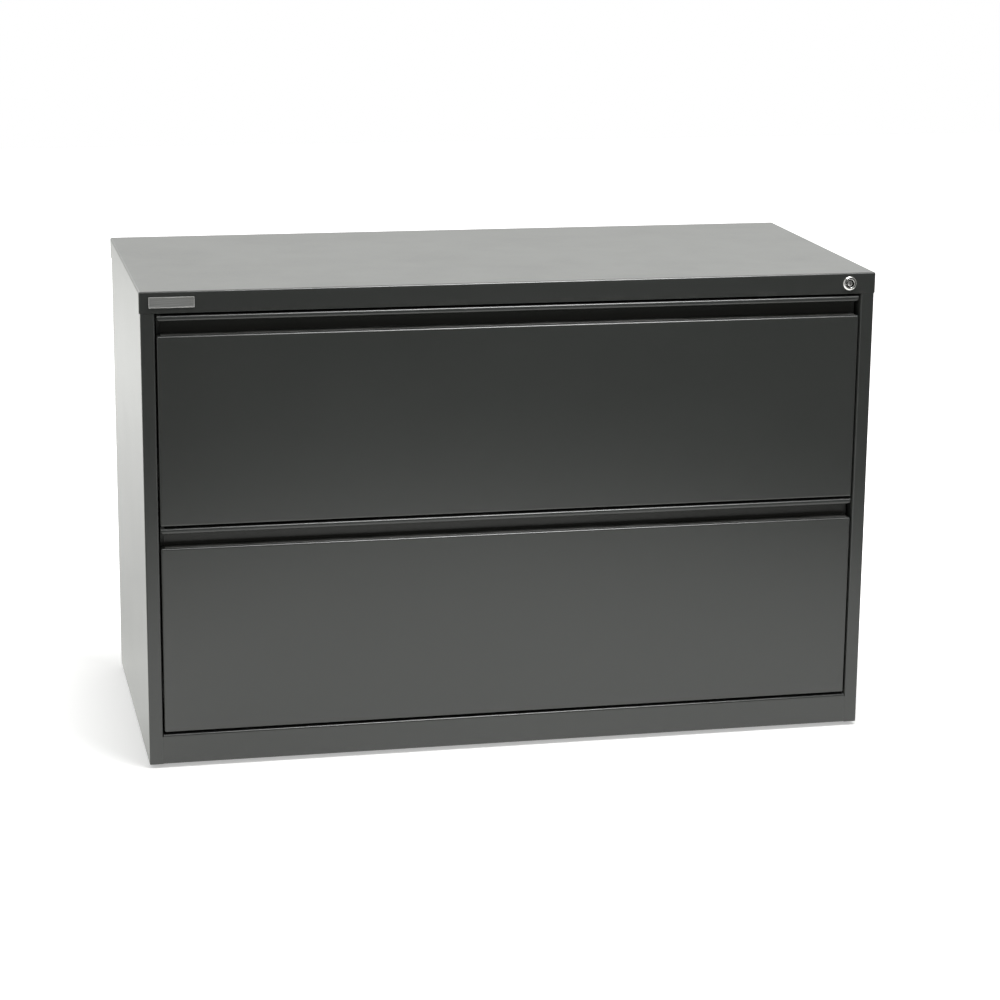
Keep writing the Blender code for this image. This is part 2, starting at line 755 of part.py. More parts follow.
def build_lock_bar(bar_lift):
    fingers = finger_heights()
    tab_end = SLOT_X[0] - BAR_SLOT_RIM
    finger_end = BODY_HALF + FINGER_FROM_DRAWER
    outline = [
        (BAR_OUTER_X, BAR_TAB_Z + TAB_HALF),
        (tab_end, BAR_TAB_Z + TAB_HALF),
        (tab_end, BAR_TAB_Z - TAB_HALF),
        (BAR_INNER_X, BAR_TAB_Z - TAB_HALF),
    ]
    for level in ("upper", "lower"):
        low, high = fingers[level]
        outline += [(BAR_INNER_X, high), (finger_end, high), (finger_end, low)]
        if level == "upper":
            outline.append((BAR_INNER_X, low))
    outline.append((BAR_OUTER_X, fingers["lower"][0]))
    origin = bar_lift.location
    outline = [(x - origin.x, z - origin.z) for x, z in outline]
    bar = add("lock_bar", prism(outline, Y, 0, BAR_THICKNESS), bar_lift, "zinc_steel")
    slot = block(
        (SLOT_X[0] - origin.x, -CUTTER_MARGIN, -SLOT_HALF),
        (SLOT_X[1] - origin.x, BAR_THICKNESS + CUTTER_MARGIN, SLOT_HALF),
    )
    combine(bar, slot, "DIFFERENCE")


def build_bar_guides(case):
    start = FRONT + BAR_START
    stop = start + BAR_THICKNESS
    for level, bottom in DRAWER_BOTTOMS.items():
        low = bottom + CATCH_ABOVE_BOTTOM + GUIDE_ABOVE_CATCH
        high = low + GUIDE_HEIGHT
        guide = add(
            level + "_lock_bar_guide",
            block(
                (RUNNER_X + SHEET + FIT, start - GUIDE_REACH, low),
                (BAR_OUTER_X + GUIDE_WALL, stop + GUIDE_REACH, high),
            ),
            case, "nylon",
        )
        passage = block(
            (BAR_INNER_X - FIT, start - FIT, low - CUTTER_MARGIN),
            (BAR_OUTER_X + FIT, stop + FIT, high + CUTTER_MARGIN),
        )
        combine(guide, passage, "DIFFERENCE")


# Levelling glides


def glide_places():
    x = SIDE_HALF - GLIDE_INSET
    rows = {"front": FRONT + GLIDE_SETBACK, "rear": BACK - GLIDE_SETBACK}
    return {"%s_%s" % (row, name): (side * x, y) for row, y in rows.items() for name, side in SIDES.items()}


def build_glides(case):
    nut_top = PAN_TOP - SHEET - FIT
    nut_bottom = nut_top - GLIDE_NUT_HEIGHT
    neck_top = nut_bottom - FIT
    stem_top = PAN_TOP + STEM_ABOVE_PAN
    profile = [
        (0, 0),
        (FOOT_RADIUS - FOOT_CHAMFER / 2, 0),
        (FOOT_RADIUS, FOOT_CHAMFER / 2),
        (FOOT_RADIUS, FOOT_HEIGHT - FOOT_CHAMFER),
        (NECK_RADIUS, FOOT_HEIGHT),
        (NECK_RADIUS, neck_top),
        (STEM_RADIUS, neck_top),
        (STEM_RADIUS, stem_top),
        (0, stem_top),
    ]
    bore = STEM_RADIUS + FIT
    for place, (x, y) in glide_places().items():
        glide_screw = frame(place + "_glide_screw", (x, y, 0))
        add(place + "_glide", turned(profile, Z, closed=False), glide_screw, "zinc_steel", smooth=True)
        nut = add(
            place + "_glide_nut",
            moved_builder(prism(hexagon(bore + GLIDE_NUT_WALL), Z, nut_bottom, nut_top), (x, y, 0)),
            case, "zinc_steel",
        )
        hole = rod(bore, Z, nut_bottom - CUTTER_MARGIN, nut_top + CUTTER_MARGIN)
        combine(nut, moved_builder(hole, (x, y, 0)), "DIFFERENCE")


def build():
    clear_scene()
    case = frame("cabinet", (0, 0, 0))
    build_top_panel(case)
    build_side_panels(case)
    build_back_panel(case)
    build_base(case)
    build_header_channel(case)
    build_uprights(case)
    build_name_plate(case)
    for level, bottom in DRAWER_BOTTOMS.items():
        drawer = frame(level + "_drawer_slide", (0, FRONT, bottom))
        middle = frame(level + "_middle_slide", (0, FRONT, bottom))
        seat = frame(level + "_slide_seat", (0, FRONT, bottom))
        build_drawer(level, drawer)
        build_slides(level, seat, middle, drawer)
    build_lock_housing(frame("lock_seat", (LOCK_X, FRONT, LOCK_Z)))
    build_lock_plug(frame("lock_turn", (LOCK_X, FRONT, LOCK_Z)))
    build_lock_bar(frame("lock_bar_lift", (BAR_INNER_X, FRONT + BAR_START, BAR_TAB_Z)))
    build_bar_guides(case)
    build_glides(case)


build()
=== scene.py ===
import math

import bmesh
import bpy
from mathutils import Matrix, Vector


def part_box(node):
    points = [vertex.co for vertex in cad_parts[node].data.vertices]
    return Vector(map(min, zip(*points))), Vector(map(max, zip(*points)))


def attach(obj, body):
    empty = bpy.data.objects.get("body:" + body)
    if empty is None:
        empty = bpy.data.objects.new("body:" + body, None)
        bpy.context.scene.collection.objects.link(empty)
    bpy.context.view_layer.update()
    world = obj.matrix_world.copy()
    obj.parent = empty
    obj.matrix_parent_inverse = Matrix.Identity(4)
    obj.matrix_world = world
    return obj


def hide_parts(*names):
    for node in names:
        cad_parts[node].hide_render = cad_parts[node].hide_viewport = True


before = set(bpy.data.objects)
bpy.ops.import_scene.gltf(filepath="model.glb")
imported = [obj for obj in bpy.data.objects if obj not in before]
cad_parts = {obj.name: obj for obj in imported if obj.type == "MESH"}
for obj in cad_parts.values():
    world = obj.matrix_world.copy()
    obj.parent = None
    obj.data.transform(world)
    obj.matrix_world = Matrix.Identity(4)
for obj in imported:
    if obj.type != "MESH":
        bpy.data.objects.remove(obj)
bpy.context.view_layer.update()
scene = bpy.context.scene
scene.view_settings.view_transform = "Standard"


# Node tools

def addNode(tree, kind, inputs=None, **settings):
    node = tree.nodes.new("ShaderNode" + kind)
    for name, value in settings.items():
        setattr(node, name, value)
    for socket, value in (inputs or {}).items():
        if isinstance(value, bpy.types.NodeSocket):
            tree.links.new(value, node.inputs[socket])
        else:
            node.inputs[socket].default_value = value
    return node


def calc(tree, operation, first, second=0.0):
    return addNode(tree, "Math", {0: first, 1: second}, operation=operation).outputs[0]


def spread(tree, value, fromRange, toRange):
    inputs = {"Value": value, "From Min": fromRange[0], "From Max": fromRange[1]}
    inputs.update({"To Min": toRange[0], "To Max": toRange[1]})
    return addNode(tree, "MapRange", inputs).outputs[0]


def mixColor(tree, factor, first, second):
    paints = []
    for value in (first, second):
        paints.append(value if isinstance(value, bpy.types.NodeSocket) else (*value, 1.0))
    return addNode(tree, "Mix", {0: factor, 6: paints[0], 7: paints[1]}, data_type="RGBA").outputs[2]


def noise(tree, scale, detail=2.0, roughness=0.5, place=None):
    place = place or addNode(tree, "TexCoord").outputs["Object"]
    inputs = {"Vector": place, "Scale": scale, "Detail": detail, "Roughness": roughness}
    return addNode(tree, "TexNoise", inputs).outputs[0]


def newGroup(name, inputs, outputs):
    tree = bpy.data.node_groups.new(name, "ShaderNodeTree")
    for label, value in inputs.items():
        kind = "NodeSocketVector" if isinstance(value, tuple) else "NodeSocketFloat"
        tree.interface.new_socket(name=label, in_out="INPUT", socket_type=kind).default_value = value
    for label in outputs:
        tree.interface.new_socket(name=label, in_out="OUTPUT", socket_type="NodeSocketFloat")
    return tree, tree.nodes.new("NodeGroupInput").outputs, tree.nodes.new("NodeGroupOutput").inputs


def useGroup(tree, group, inputs=None):
    node = addNode(tree, "Group", node_tree=group)
    for socket, value in (inputs or {}).items():
        node.inputs[socket].default_value = value
    return node.outputs


def give(tree, result, **outputs):
    for label, output in outputs.items():
        tree.links.new(output, result[label])


# Shared surface effects, in which every noise is given by its detail and roughness

grainValues = {
    "peel": (2.0, 0.45), "speck": (1.0, 0.5), "cloud": (5.0, 0.6), "peelShare": 0.8, "speckShare": 0.2,
}


def makePowderGrain():
    given = {"Peel Scale": 340.0, "Speck Scale": 2100.0, "Cloud Scale": 7.0}
    tree, given, result = newGroup("powderGrain", given, ["Height", "Speck", "Cloud"])
    peel = noise(tree, given["Peel Scale"], *grainValues["peel"])
    speck = noise(tree, given["Speck Scale"], *grainValues["speck"])
    cloud = noise(tree, given["Cloud Scale"], *grainValues["cloud"])
    height = calc(tree, "ADD", calc(tree, "MULTIPLY", peel, grainValues["peelShare"]),
                  calc(tree, "MULTIPLY", speck, grainValues["speckShare"]))
    give(tree, result, Height=height, Speck=speck, Cloud=cloud)
    return tree


wearValues = {
    "breakup": (4.0, 0.65), "scratches": (3.0, 0.5), "sharpness": (0.995, 0.86), "patches": (0.48, 0.68),
    "fine": (0.35, 0.65), "leastFine": 0.3,
}


def makeEdgeWear():
    given = {"Radius": 0.0025, "Breakup Scale": 38.0, "Fine Scale": 420.0}
    tree, given, result = newGroup("edgeWear", given, ["Rubbed"])
    eased = addNode(tree, "Bevel", {"Radius": given["Radius"]}, samples=4).outputs[0]
    facing = addNode(tree, "NewGeometry").outputs["Normal"]
    match = addNode(tree, "VectorMath", {0: eased, 1: facing}, operation="DOT_PRODUCT").outputs["Value"]
    edge = spread(tree, match, wearValues["sharpness"], (0.0, 1.0))
    patches = noise(tree, given["Breakup Scale"], *wearValues["breakup"])
    patches = spread(tree, patches, wearValues["patches"], (0.0, 1.0))
    fine = noise(tree, given["Fine Scale"], *wearValues["scratches"])
    fine = spread(tree, fine, wearValues["fine"], (wearValues["leastFine"], 1.0))
    give(tree, result, Rubbed=calc(tree, "MULTIPLY", calc(tree, "MULTIPLY", edge, patches), fine))
    return tree


dustValues = {
    "film": (6.0, 0.62), "lint": (4.0, 0.7), "upward": (0.6, 1.0), "patches": (0.4, 0.75), "leastPatch": 0.15,
    "fibres": (0.4, 0.7), "leastFibre": 0.4,
}


def makeSettledDust():
    tree, given, result = newGroup("settledDust", {"Patch Scale": 11.0, "Fibre Scale": 260.0}, ["Mask"])
    normal = addNode(tree, "NewGeometry").outputs["Normal"]
    upward = addNode(tree, "SeparateXYZ", {0: normal}).outputs["Z"]
    lying = spread(tree, upward, dustValues["upward"], (0.0, 1.0))
    patches = noise(tree, given["Patch Scale"], *dustValues["film"])
    patches = spread(tree, patches, dustValues["patches"], (dustValues["leastPatch"], 1.0))
    fibres = noise(tree, given["Fibre Scale"], *dustValues["lint"])
    fibres = spread(tree, fibres, dustValues["fibres"], (dustValues["leastFibre"], 1.0))
    give(tree, result, Mask=calc(tree, "MULTIPLY", calc(tree, "MULTIPLY", lying, patches), fibres))
    return tree


brushedValues = {"lines": (3.0, 0.6), "blots": (4.0, 0.6), "streaks": (0.3, 0.7)}


def makeBrushedGrain():
    given = {"Stretch": (1.0, 1.0, 1.0), "Line Scale": 900.0, "Blot Scale": 30.0}
    tree, given, result = newGroup("brushedGrain", given, ["Height", "Streak", "Blot"])
    place = addNode(tree, "TexCoord").outputs["Object"]
    drawn = addNode(tree, "VectorMath", {0: place, 1: given["Stretch"]}, operation="MULTIPLY").outputs[0]
    lines = noise(tree, given["Line Scale"], *brushedValues["lines"], drawn)
    blots = noise(tree, given["Blot Scale"], *brushedValues["blots"])
    streak = spread(tree, lines, brushedValues["streaks"], (0.0, 1.0))
    give(tree, result, Height=lines, Streak=streak, Blot=blots)
    return tree


bloomValues = {"bloom": (6.0, 0.65)}


def makeZincBloom():
    given = {"Spangle Scale": 210.0, "Bloom Scale": 16.0}
    tree, given, result = newGroup("zincBloom", given, ["Spangle", "Bloom"])
    place = addNode(tree, "TexCoord").outputs["Object"]
    cells = addNode(tree, "TexVoronoi", {"Vector": place, "Scale": given["Spangle Scale"]}).outputs["Color"]
    spangle = addNode(tree, "SeparateColor", {0: cells}).outputs[0]
    give(tree, result, Spangle=spangle, Bloom=noise(tree, given["Bloom Scale"], *bloomValues["bloom"]))
    return tree


powderGrain, edgeWear, settledDust = makePowderGrain(), makeEdgeWear(), makeSettledDust()
brushedGrain, zincBloom = makeBrushedGrain(), makeZincBloom()
print("effects:", len(bpy.data.node_groups), "node groups")


# Finishes

def newFinish(name):
    finish = bpy.data.materials.new(name)
    finish.use_nodes = True
    return finish, finish.node_tree, finish.node_tree.nodes["Principled BSDF"]


shaderSockets = {"color": "Base Color", "roughness": "Roughness", "normal": "Normal"}


def join(tree, shader, **outputs):
    for label, output in outputs.items():
        tree.links.new(output, shader.inputs[shaderSockets[label]])


def tinted(tree, color, mask, share, second):
    return mixColor(tree, calc(tree, "MULTIPLY", mask, share), color, second)


def blended(tree, first, second, share):
    return calc(tree, "ADD", first, calc(tree, "MULTIPLY", second, share))


def bumped(tree, height, strength, distance):
    return addNode(tree, "Bump", {"Strength": strength, "Distance": distance, "Height": height}).outputs[0]


def dress(tree, shader, look, color, sheen, height):
    gloss = spread(tree, sheen, look["gloss"], look["roughness"])
    join(tree, shader, color=color, roughness=gloss, normal=bumped(tree, height, *look["bump"]))
    shader.inputs["Metallic"].default_value = look["metal"]


outerPaintLook = {
    "deep": (0.0347, 0.0372, 0.0353), "pale": (0.0377, 0.0402, 0.0381),
    "rubbed": (0.085, 0.085, 0.082), "rubbedShare": 0.35,
    "dust": (0.30, 0.295, 0.28), "dustShare": 0.012, "dustDulling": 4, "clouds": (0.25, 0.75),
    "roughness": (0.275, 0.289), "ior": 1.65, "glossClouds": (0.45, 0.85), "speckShare": 0.3,
    "peel": (0.05, 0.0004),
}
innerPaintLook = dict(outerPaintLook, roughness=(0.40, 0.50), dustShare=0.05, ior=1.5)
# Painted shade in the pull recess: a darker coat, and heavy dust whose lightening of the shelf is partly
# painted light
recessShadeAndDustLook = dict(outerPaintLook, deep=(0.0165, 0.0175, 0.0145), pale=(0.0185, 0.0195, 0.0165),
                       dustShare=0.35, ior=1.55)


def makePaint(name, look):
    finish, tree, shader = newFinish(name)
    grain, wear, dust = (useGroup(tree, group) for group in (powderGrain, edgeWear, settledDust))
    cloud = spread(tree, grain["Cloud"], look["clouds"], (0.0, 1.0))
    coat = mixColor(tree, cloud, look["deep"], look["pale"])
    coat = tinted(tree, coat, wear["Rubbed"], look["rubbedShare"], look["rubbed"])
    coat = tinted(tree, coat, dust["Mask"], look["dustShare"], look["dust"])
    clouds = blended(tree, grain["Cloud"], grain["Speck"], look["speckShare"])
    gloss = spread(tree, clouds, look["glossClouds"], look["roughness"])
    gloss = blended(tree, gloss, dust["Mask"], look["dustShare"] * look["dustDulling"])
    join(tree, shader, color=coat, roughness=gloss, normal=bumped(tree, grain["Height"], *look["peel"]))
    shader.inputs["IOR"].default_value = look["ior"]
    return finish


zincLook = {
    "deep": (0.46, 0.47, 0.48), "pale": (0.56, 0.57, 0.58), "stain": (0.36, 0.36, 0.35),
    "stains": (0.5, 0.8), "stainShare": 0.7, "rubbed": (0.72, 0.72, 0.72), "rubbedShare": 0.5,
    "streakShare": 0.25, "gloss": (0.4, 0.9), "roughness": (0.30, 0.46), "metal": 1.0, "bump": (0.08, 0.0003),
}


def makeZinc(name, look):
    finish, tree, shader = newFinish(name)
    bloom = useGroup(tree, zincBloom)
    drawn = useGroup(tree, brushedGrain, {"Stretch": (1.0, 0.06, 1.0), "Line Scale": 700.0})
    wear = useGroup(tree, edgeWear, {"Radius": 0.0008})
    color = mixColor(tree, bloom["Spangle"], look["deep"], look["pale"])
    color = mixColor(tree, spread(tree, bloom["Bloom"], look["stains"], (0.0, look["stainShare"])), color,
                     look["stain"])
    color = tinted(tree, color, wear["Rubbed"], look["rubbedShare"], look["rubbed"])
    blooms = blended(tree, bloom["Bloom"], drawn["Streak"], look["streakShare"])
    dress(tree, shader, look, color, blooms, drawn["Height"])
    return finish


chromeLook = {
    "deep": (0.80, 0.795, 0.775), "pale": (0.90, 0.895, 0.88), "roughness": (0.18, 0.28), "metal": 1.0,
    "specular": 0.5, "rubbed": (0.5, 0.5, 0.5), "rubbedShare": 0.3, "streakShare": 0.3, "gloss": (0.4, 1.0),
    "grain": {"Stretch": (1.0, 0.2, 1.0), "Line Scale": 1600.0, "Blot Scale": 220.0}, "tintBy": "Blot",
    "wear": {"Radius": 0.0005, "Breakup Scale": 300.0}, "bump": (0.03, 0.0001),
}
plugLook = dict(chromeLook, deep=(0.70, 0.695, 0.68), pale=(0.86, 0.855, 0.84), roughness=(0.34, 0.48))
collarLook = dict(chromeLook, deep=(0.006, 0.006, 0.006), pale=(0.014, 0.014, 0.013), roughness=(0.4, 0.55),
                  metal=0.0, specular=0.15)
plateFieldLook = {
    "deep": (0.215, 0.218, 0.215), "pale": (0.325, 0.328, 0.322), "roughness": (0.34, 0.5), "metal": 0.25,
    "specular": 0.5, "rubbed": (0.8, 0.8, 0.79), "rubbedShare": 0.4, "streakShare": 1.0, "gloss": (0.4, 1.6),
    "grain": {"Stretch": (0.02, 1.0, 1.0), "Line Scale": 1500.0, "Blot Scale": 45.0}, "tintBy": "Streak",
    "wear": {"Radius": 0.0006, "Breakup Scale": 160.0}, "bump": (0.2, 0.0002),
}
plateRimLook = dict(plateFieldLook, deep=(0.44, 0.44, 0.435), pale=(0.54, 0.54, 0.53), roughness=(0.2, 0.32),
                    metal=0.2, bump=(0.05, 0.0002))


def makeBrushedMetal(name, look):
    finish, tree, shader = newFinish(name)
    drawn, wear = useGroup(tree, brushedGrain, look["grain"]), useGroup(tree, edgeWear, look["wear"])
    color = mixColor(tree, drawn[look["tintBy"]], look["deep"], look["pale"])
    color = tinted(tree, color, wear["Rubbed"], look["rubbedShare"], look["rubbed"])
    sheen = blended(tree, drawn["Blot"], drawn["Streak"], look["streakShare"])
    dress(tree, shader, look, color, sheen, drawn["Height"])
    shader.inputs["Specular IOR Level"].default_value = look["specular"]
    return finish


ironLook = {
    "deep": (0.055, 0.05, 0.046), "pale": (0.13, 0.12, 0.11), "stain": (0.16, 0.075, 0.035),
    "stains": (0.55, 0.75), "stainShare": 0.6, "rubbedShare": 0.4, "dust": (0.3, 0.295, 0.28),
    "dustShare": 0.08, "gloss": (0.35, 0.7), "roughness": (0.55, 0.75), "metal": 0.6, "bump": (0.35, 0.001),
}
nylonLook = dict(ironLook, deep=(0.50, 0.49, 0.45), pale=(0.62, 0.61, 0.57), stain=(0.40, 0.385, 0.345),
                 roughness=(0.42, 0.55), metal=0.0, bump=(0.1, 0.0004))


def makeMoulded(name, look):
    finish, tree, shader = newFinish(name)
    grain = useGroup(tree, powderGrain, {"Peel Scale": 180.0, "Speck Scale": 900.0, "Cloud Scale": 24.0})
    wear = useGroup(tree, edgeWear, {"Radius": 0.001})
    dust = useGroup(tree, settledDust)
    color = mixColor(tree, grain["Height"], look["deep"], look["pale"])
    color = mixColor(tree, spread(tree, grain["Cloud"], look["stains"], (0.0, look["stainShare"])), color,
                     look["stain"])
    color = tinted(tree, color, wear["Rubbed"], look["rubbedShare"], look["pale"])
    color = tinted(tree, color, dust["Mask"], look["dustShare"], look["dust"])
    dress(tree, shader, look, color, grain["Cloud"], grain["Height"])
    return finish


outerPaint = makePaint("outerCharcoal", outerPaintLook)
innerPaint = makePaint("innerCharcoal", innerPaintLook)
recessShadeAndDustPaint = makePaint("recessShadeAndDustCharcoal", recessShadeAndDustLook)
zinc = makeZinc("zincSteel", zincLook)
chrome = makeBrushedMetal("lockChrome", chromeLook)
plugSteel = makeBrushedMetal("lockPlug", plugLook)
collarBlack = makeBrushedMetal("lockCollar", collarLook)
plateField = makeBrushedMetal("plateField", plateFieldLook)
plateRim = makeBrushedMetal("plateRim", plateRimLook)
iron = makeMoulded("counterweightIron", ironLook)
nylon = makeMoulded("guideNylon", nylonLook)
print("finishes:", len(bpy.data.materials), "materials")


# Mesh tools

sheetMetal = {
    "thickness": 0.0012, "bend": 0.0022, "bendSteps": 6, "fit": 0.0003, "cutMargin": 0.002, "weld": 4e-6,
}
smoothAngle = math.radians(32)
sharpCorner = {"radius": 1e-6, "turn": 1e-4}


def block(low, high):
    builder = bmesh.new()
    bmesh.ops.create_cube(builder, size=1.0)
    low, high = Vector(low), Vector(high)
    fit = Matrix.Translation((low + high) / 2) @ Matrix.Diagonal(high - low).to_4x4()
    bmesh.ops.transform(builder, matrix=fit, verts=builder.verts)
    return builder


def runAlong(outline, axis, start, end):
    builder = bmesh.new()
    rings = []
    for distance in (start, end):
        ring = []
        for first, second in outline:
            point = [first, second]
            point.insert(axis, distance)
            ring.append(builder.verts.new(point))
        rings.append(ring)
    builder.faces.new(rings[0])
    builder.faces.new(rings[1][::-1])
    for index in range(len(outline)):
        after = (index + 1) % len(outline)
        builder.faces.new((rings[0][index], rings[1][index], rings[1][after], rings[0][after]))
    bmesh.ops.recalc_face_normals(builder, faces=builder.faces)
    return builder


def roundCorner(before, corner, after, radius, steps):
    into, out = (corner - before).normalized(), (after - corner).normalized()
    turn = math.atan2(into.cross(out), into.dot(out))
    if radius < sharpCorner["radius"] or abs(turn) < sharpCorner["turn"]:
        return [corner]
    inward = Vector((-into.y, into.x)) * math.copysign(radius, turn)
    centre = corner - into * radius * math.tan(abs(turn) / 2) + inward
    return [centre + Matrix.Rotation(turn * step / steps, 2) @ -inward for step in range(steps + 1)]


def roundedOutline(corners, radius, steps=5):
    corners = [Vector(corner) for corner in corners]
    points = []
    for index, corner in enumerate(corners):
        points += roundCorner(corners[index - 1], corner, corners[(index + 1) % len(corners)], radius, steps)
    return [tuple(point) for point in points]


def frontCorners(low, high, inset=0.0):
    return [(low.x + inset, low.z + inset), (high.x - inset, low.z + inset), (high.x - inset, high.z - inset),
            (low.x + inset, high.z - inset)]


def foldedSheet(path, side=1, bends=None):
    # path is the outer face, and the sheet lies inside its folds
    thickness, steps = sheetMetal["thickness"], sheetMetal["bendSteps"]
    bends = bends or sheetMetal["bend"]
    if not isinstance(bends, tuple):
        bends = (bends,) * (len(path) - 2)
    path = [Vector(point) for point in path]
    runs = [(after - before).normalized() for before, after in zip(path, path[1:])]
    inside = math.copysign(thickness, runs[0].cross(runs[1]))
    normals = [Vector((-run.y, run.x)) * inside for run in runs]
    inner = [path[0] + normals[0]]
    for corner, normal, following in zip(path[1:], normals, normals[1:]):
        inner.append(corner + (normal + following) / (1 + normal.dot(following) / thickness ** 2))
    inner.append(path[-1] + normals[-1])
    outline = []
    for line, taken in ((path, 0.0), (inner, thickness)):
        points = [line[0]]
        for before, corner, after, bend in zip(line, line[1:], line[2:], bends):
            points += roundCorner(before, corner, after, bend - taken, steps)
        points.append(line[-1])
        outline.append(points)
    return [(side * point.x, point.y) for point in outline[0] + outline[1][::-1]]


def foldedTray(low, high, openTo, bend):
    builder = block(low, high)
    openTo = Vector(openTo)
    thickness = sheetMetal["thickness"]
    mouth = max(builder.faces, key=lambda face: face.normal.dot(openTo))
    folds = [edge for edge in builder.edges if edge not in mouth.edges[:]]
    bmesh.ops.bevel(builder, geom=folds, offset=bend, segments=sheetMetal["bendSteps"] + 1, profile=0.5,
                    affect="EDGES")
    mouth = max(builder.faces, key=lambda face: face.normal.dot(openTo) * face.calc_area())
    bmesh.ops.inset_region(builder, faces=[mouth], thickness=thickness, use_even_offset=True)
    depth = abs((Vector(high) - Vector(low)).dot(openTo))
    bmesh.ops.translate(builder, verts=mouth.verts, vec=-openTo * (depth - thickness))
    return builder


def spun(profile, axis, closed=False, segments=56):
    # Rings joined one after another, and a point on the axis closes the end
    builder = bmesh.new()
    across, upward = [index for index in range(3) if index != axis]
    rings = []
    for radius, along in profile:
        ring = []
        for step in range(segments if radius else 1):
            angle = math.tau * step / segments
            point = Vector((0, 0, 0))
            point[axis] = along
            point[across], point[upward] = radius * math.cos(angle), radius * math.sin(angle)
            ring.append(builder.verts.new(point))
        rings.append(ring)
    for before, after in zip(rings, rings[1:] + rings[:1] if closed else rings[1:]):
        for step in range(segments):
            corners = [ring[(step + turn) % len(ring)] for ring, turn in
                       ((before, 0), (before, 1), (after, 1), (after, 0))]
            builder.faces.new(list(dict.fromkeys(corners)))
    bmesh.ops.recalc_face_normals(builder, faces=builder.faces)
    return builder


def placed(builder, offset, turn=None):
    matrix = Matrix.Translation(offset) @ (turn.to_4x4() if turn else Matrix.Identity(4))
    bmesh.ops.transform(builder, matrix=matrix, verts=builder.verts)
    return builder


def joined(*builders):
    whole = bmesh.new()
    for builder in builders:
        mesh = bpy.data.meshes.new("join")
        builder.to_mesh(mesh)
        builder.free()
        whole.from_mesh(mesh)
        bpy.data.meshes.remove(mesh)
    return whole


def looseObject(builder):
    mesh = bpy.data.meshes.new("loose")
    builder.to_mesh(mesh)
    builder.free()
    loose = bpy.data.objects.new("loose", mesh)
    scene.collection.objects.link(loose)
    return loose


def carved(builder, *cutters):
    shape, tool = looseObject(builder), looseObject(joined(*cutters))
    cut = shape.modifiers.new("cut", "BOOLEAN")
    cut.operation, cut.solver, cut.object, cut.use_self = "DIFFERENCE", "EXACT", tool, len(cutters) > 1
    after = shape.evaluated_get(bpy.context.evaluated_depsgraph_get())
    result = bmesh.new()
    result.from_mesh(after.to_mesh())
    after.to_mesh_clear()
    bmesh.ops.remove_doubles(result, verts=result.verts, dist=sheetMetal["weld"])  # no slivers along the cut
    for item in (shape, tool):
        mesh = item.data
        bpy.data.objects.remove(item)
        bpy.data.meshes.remove(mesh)
    return result


def addPiece(name, builder, finish, body, stands=(), softEdge=0.0):
    bmesh.ops.recalc_face_normals(builder, faces=builder.faces)
    mesh = bpy.data.meshes.new(name)
    builder.to_mesh(mesh)
    builder.free()
    mesh.shade_smooth()
    mesh.set_sharp_from_angle(angle=smoothAngle)
    mesh.materials.append(finish)
    piece = bpy.data.objects.new(name, mesh)
    scene.collection.objects.link(piece)
    if softEdge:
        soft = piece.modifiers.new("softEdge", "BEVEL")
        soft.width, soft.segments, soft.angle_limit = softEdge, 2, smoothAngle
    even = piece.modifiers.new("evenShade", "WEIGHTED_NORMAL")  # flat faces stay flat beside their bends
    even.keep_sharp = True
    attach(piece, body)
    if stands:
        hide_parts(*stands)
    return piece


thick, fit, margin = (sheetMetal[key] for key in ("thickness", "fit", "cutMargin"))
sides = {"left": -1, "right": 1}
levels = ("upper", "lower")
capLow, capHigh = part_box("top_panel")
front, headerBottom = capLow.y, capLow.z
lockLow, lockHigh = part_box("lock_housing")
lockMiddle = Vector(((lockLow.x + lockHigh.x) / 2, front, (lockLow.z + lockHigh.z) / 2))


# Case shell

caseShell = {
    "capBend": 0.0027, "railBends": (0.0034, 0.0018), "railFoot": 0.020, "seamSink": 0.0003, "seamSlope": 1.5,
    "flange": 0.0195, "flangeReturn": 0.0026, "rearReturn": 0.020, "returnCut": 0.004, "backCorner": 0.002,
    "lockHole": 0.0088, "lockHoleReach": 0.01, "softEdge": 0.0004,
    "weldRadius": 0.0038, "weldHeight": 0.0005, "weldSpacing": 0.11, "weldInset": 0.011, "firstWeld": 0.06,
    "sideWelds": 6, "footWelds": 9, "weldSegments": 20,
    "weldProfile": ((0, 0.15), (0.4, 0.2), (0.6, 0.85), (0.72, 1), (0.86, 0.6), (1, 0), (0, -1)),
}


def weldMarks(places, outward, radius, height):
    # Shallow dished rings left by the spot welder, one on each place
    marks = []
    turn = Vector((0, 0, 1)).rotation_difference(Vector(outward)).to_matrix()
    profile = [(radius * across, height * up) for across, up in caseShell["weldProfile"]]
    for place in places:
        marks.append(placed(spun(profile, 2, segments=caseShell["weldSegments"]), place, turn))
    return joined(*marks)


def makeCap():
    cap = foldedTray(capLow, capHigh, (0, 0, -1), caseShell["capBend"])
    radius, reach = caseShell["lockHole"], caseShell["lockHoleReach"]
    hole = spun([(0, -reach), (radius, -reach), (radius, reach), (0, reach)], 1)
    cap = carved(cap, placed(hole, lockMiddle))
    addPiece("cap", cap, outerPaint, "cabinet", ["top_panel"], caseShell["softEdge"])


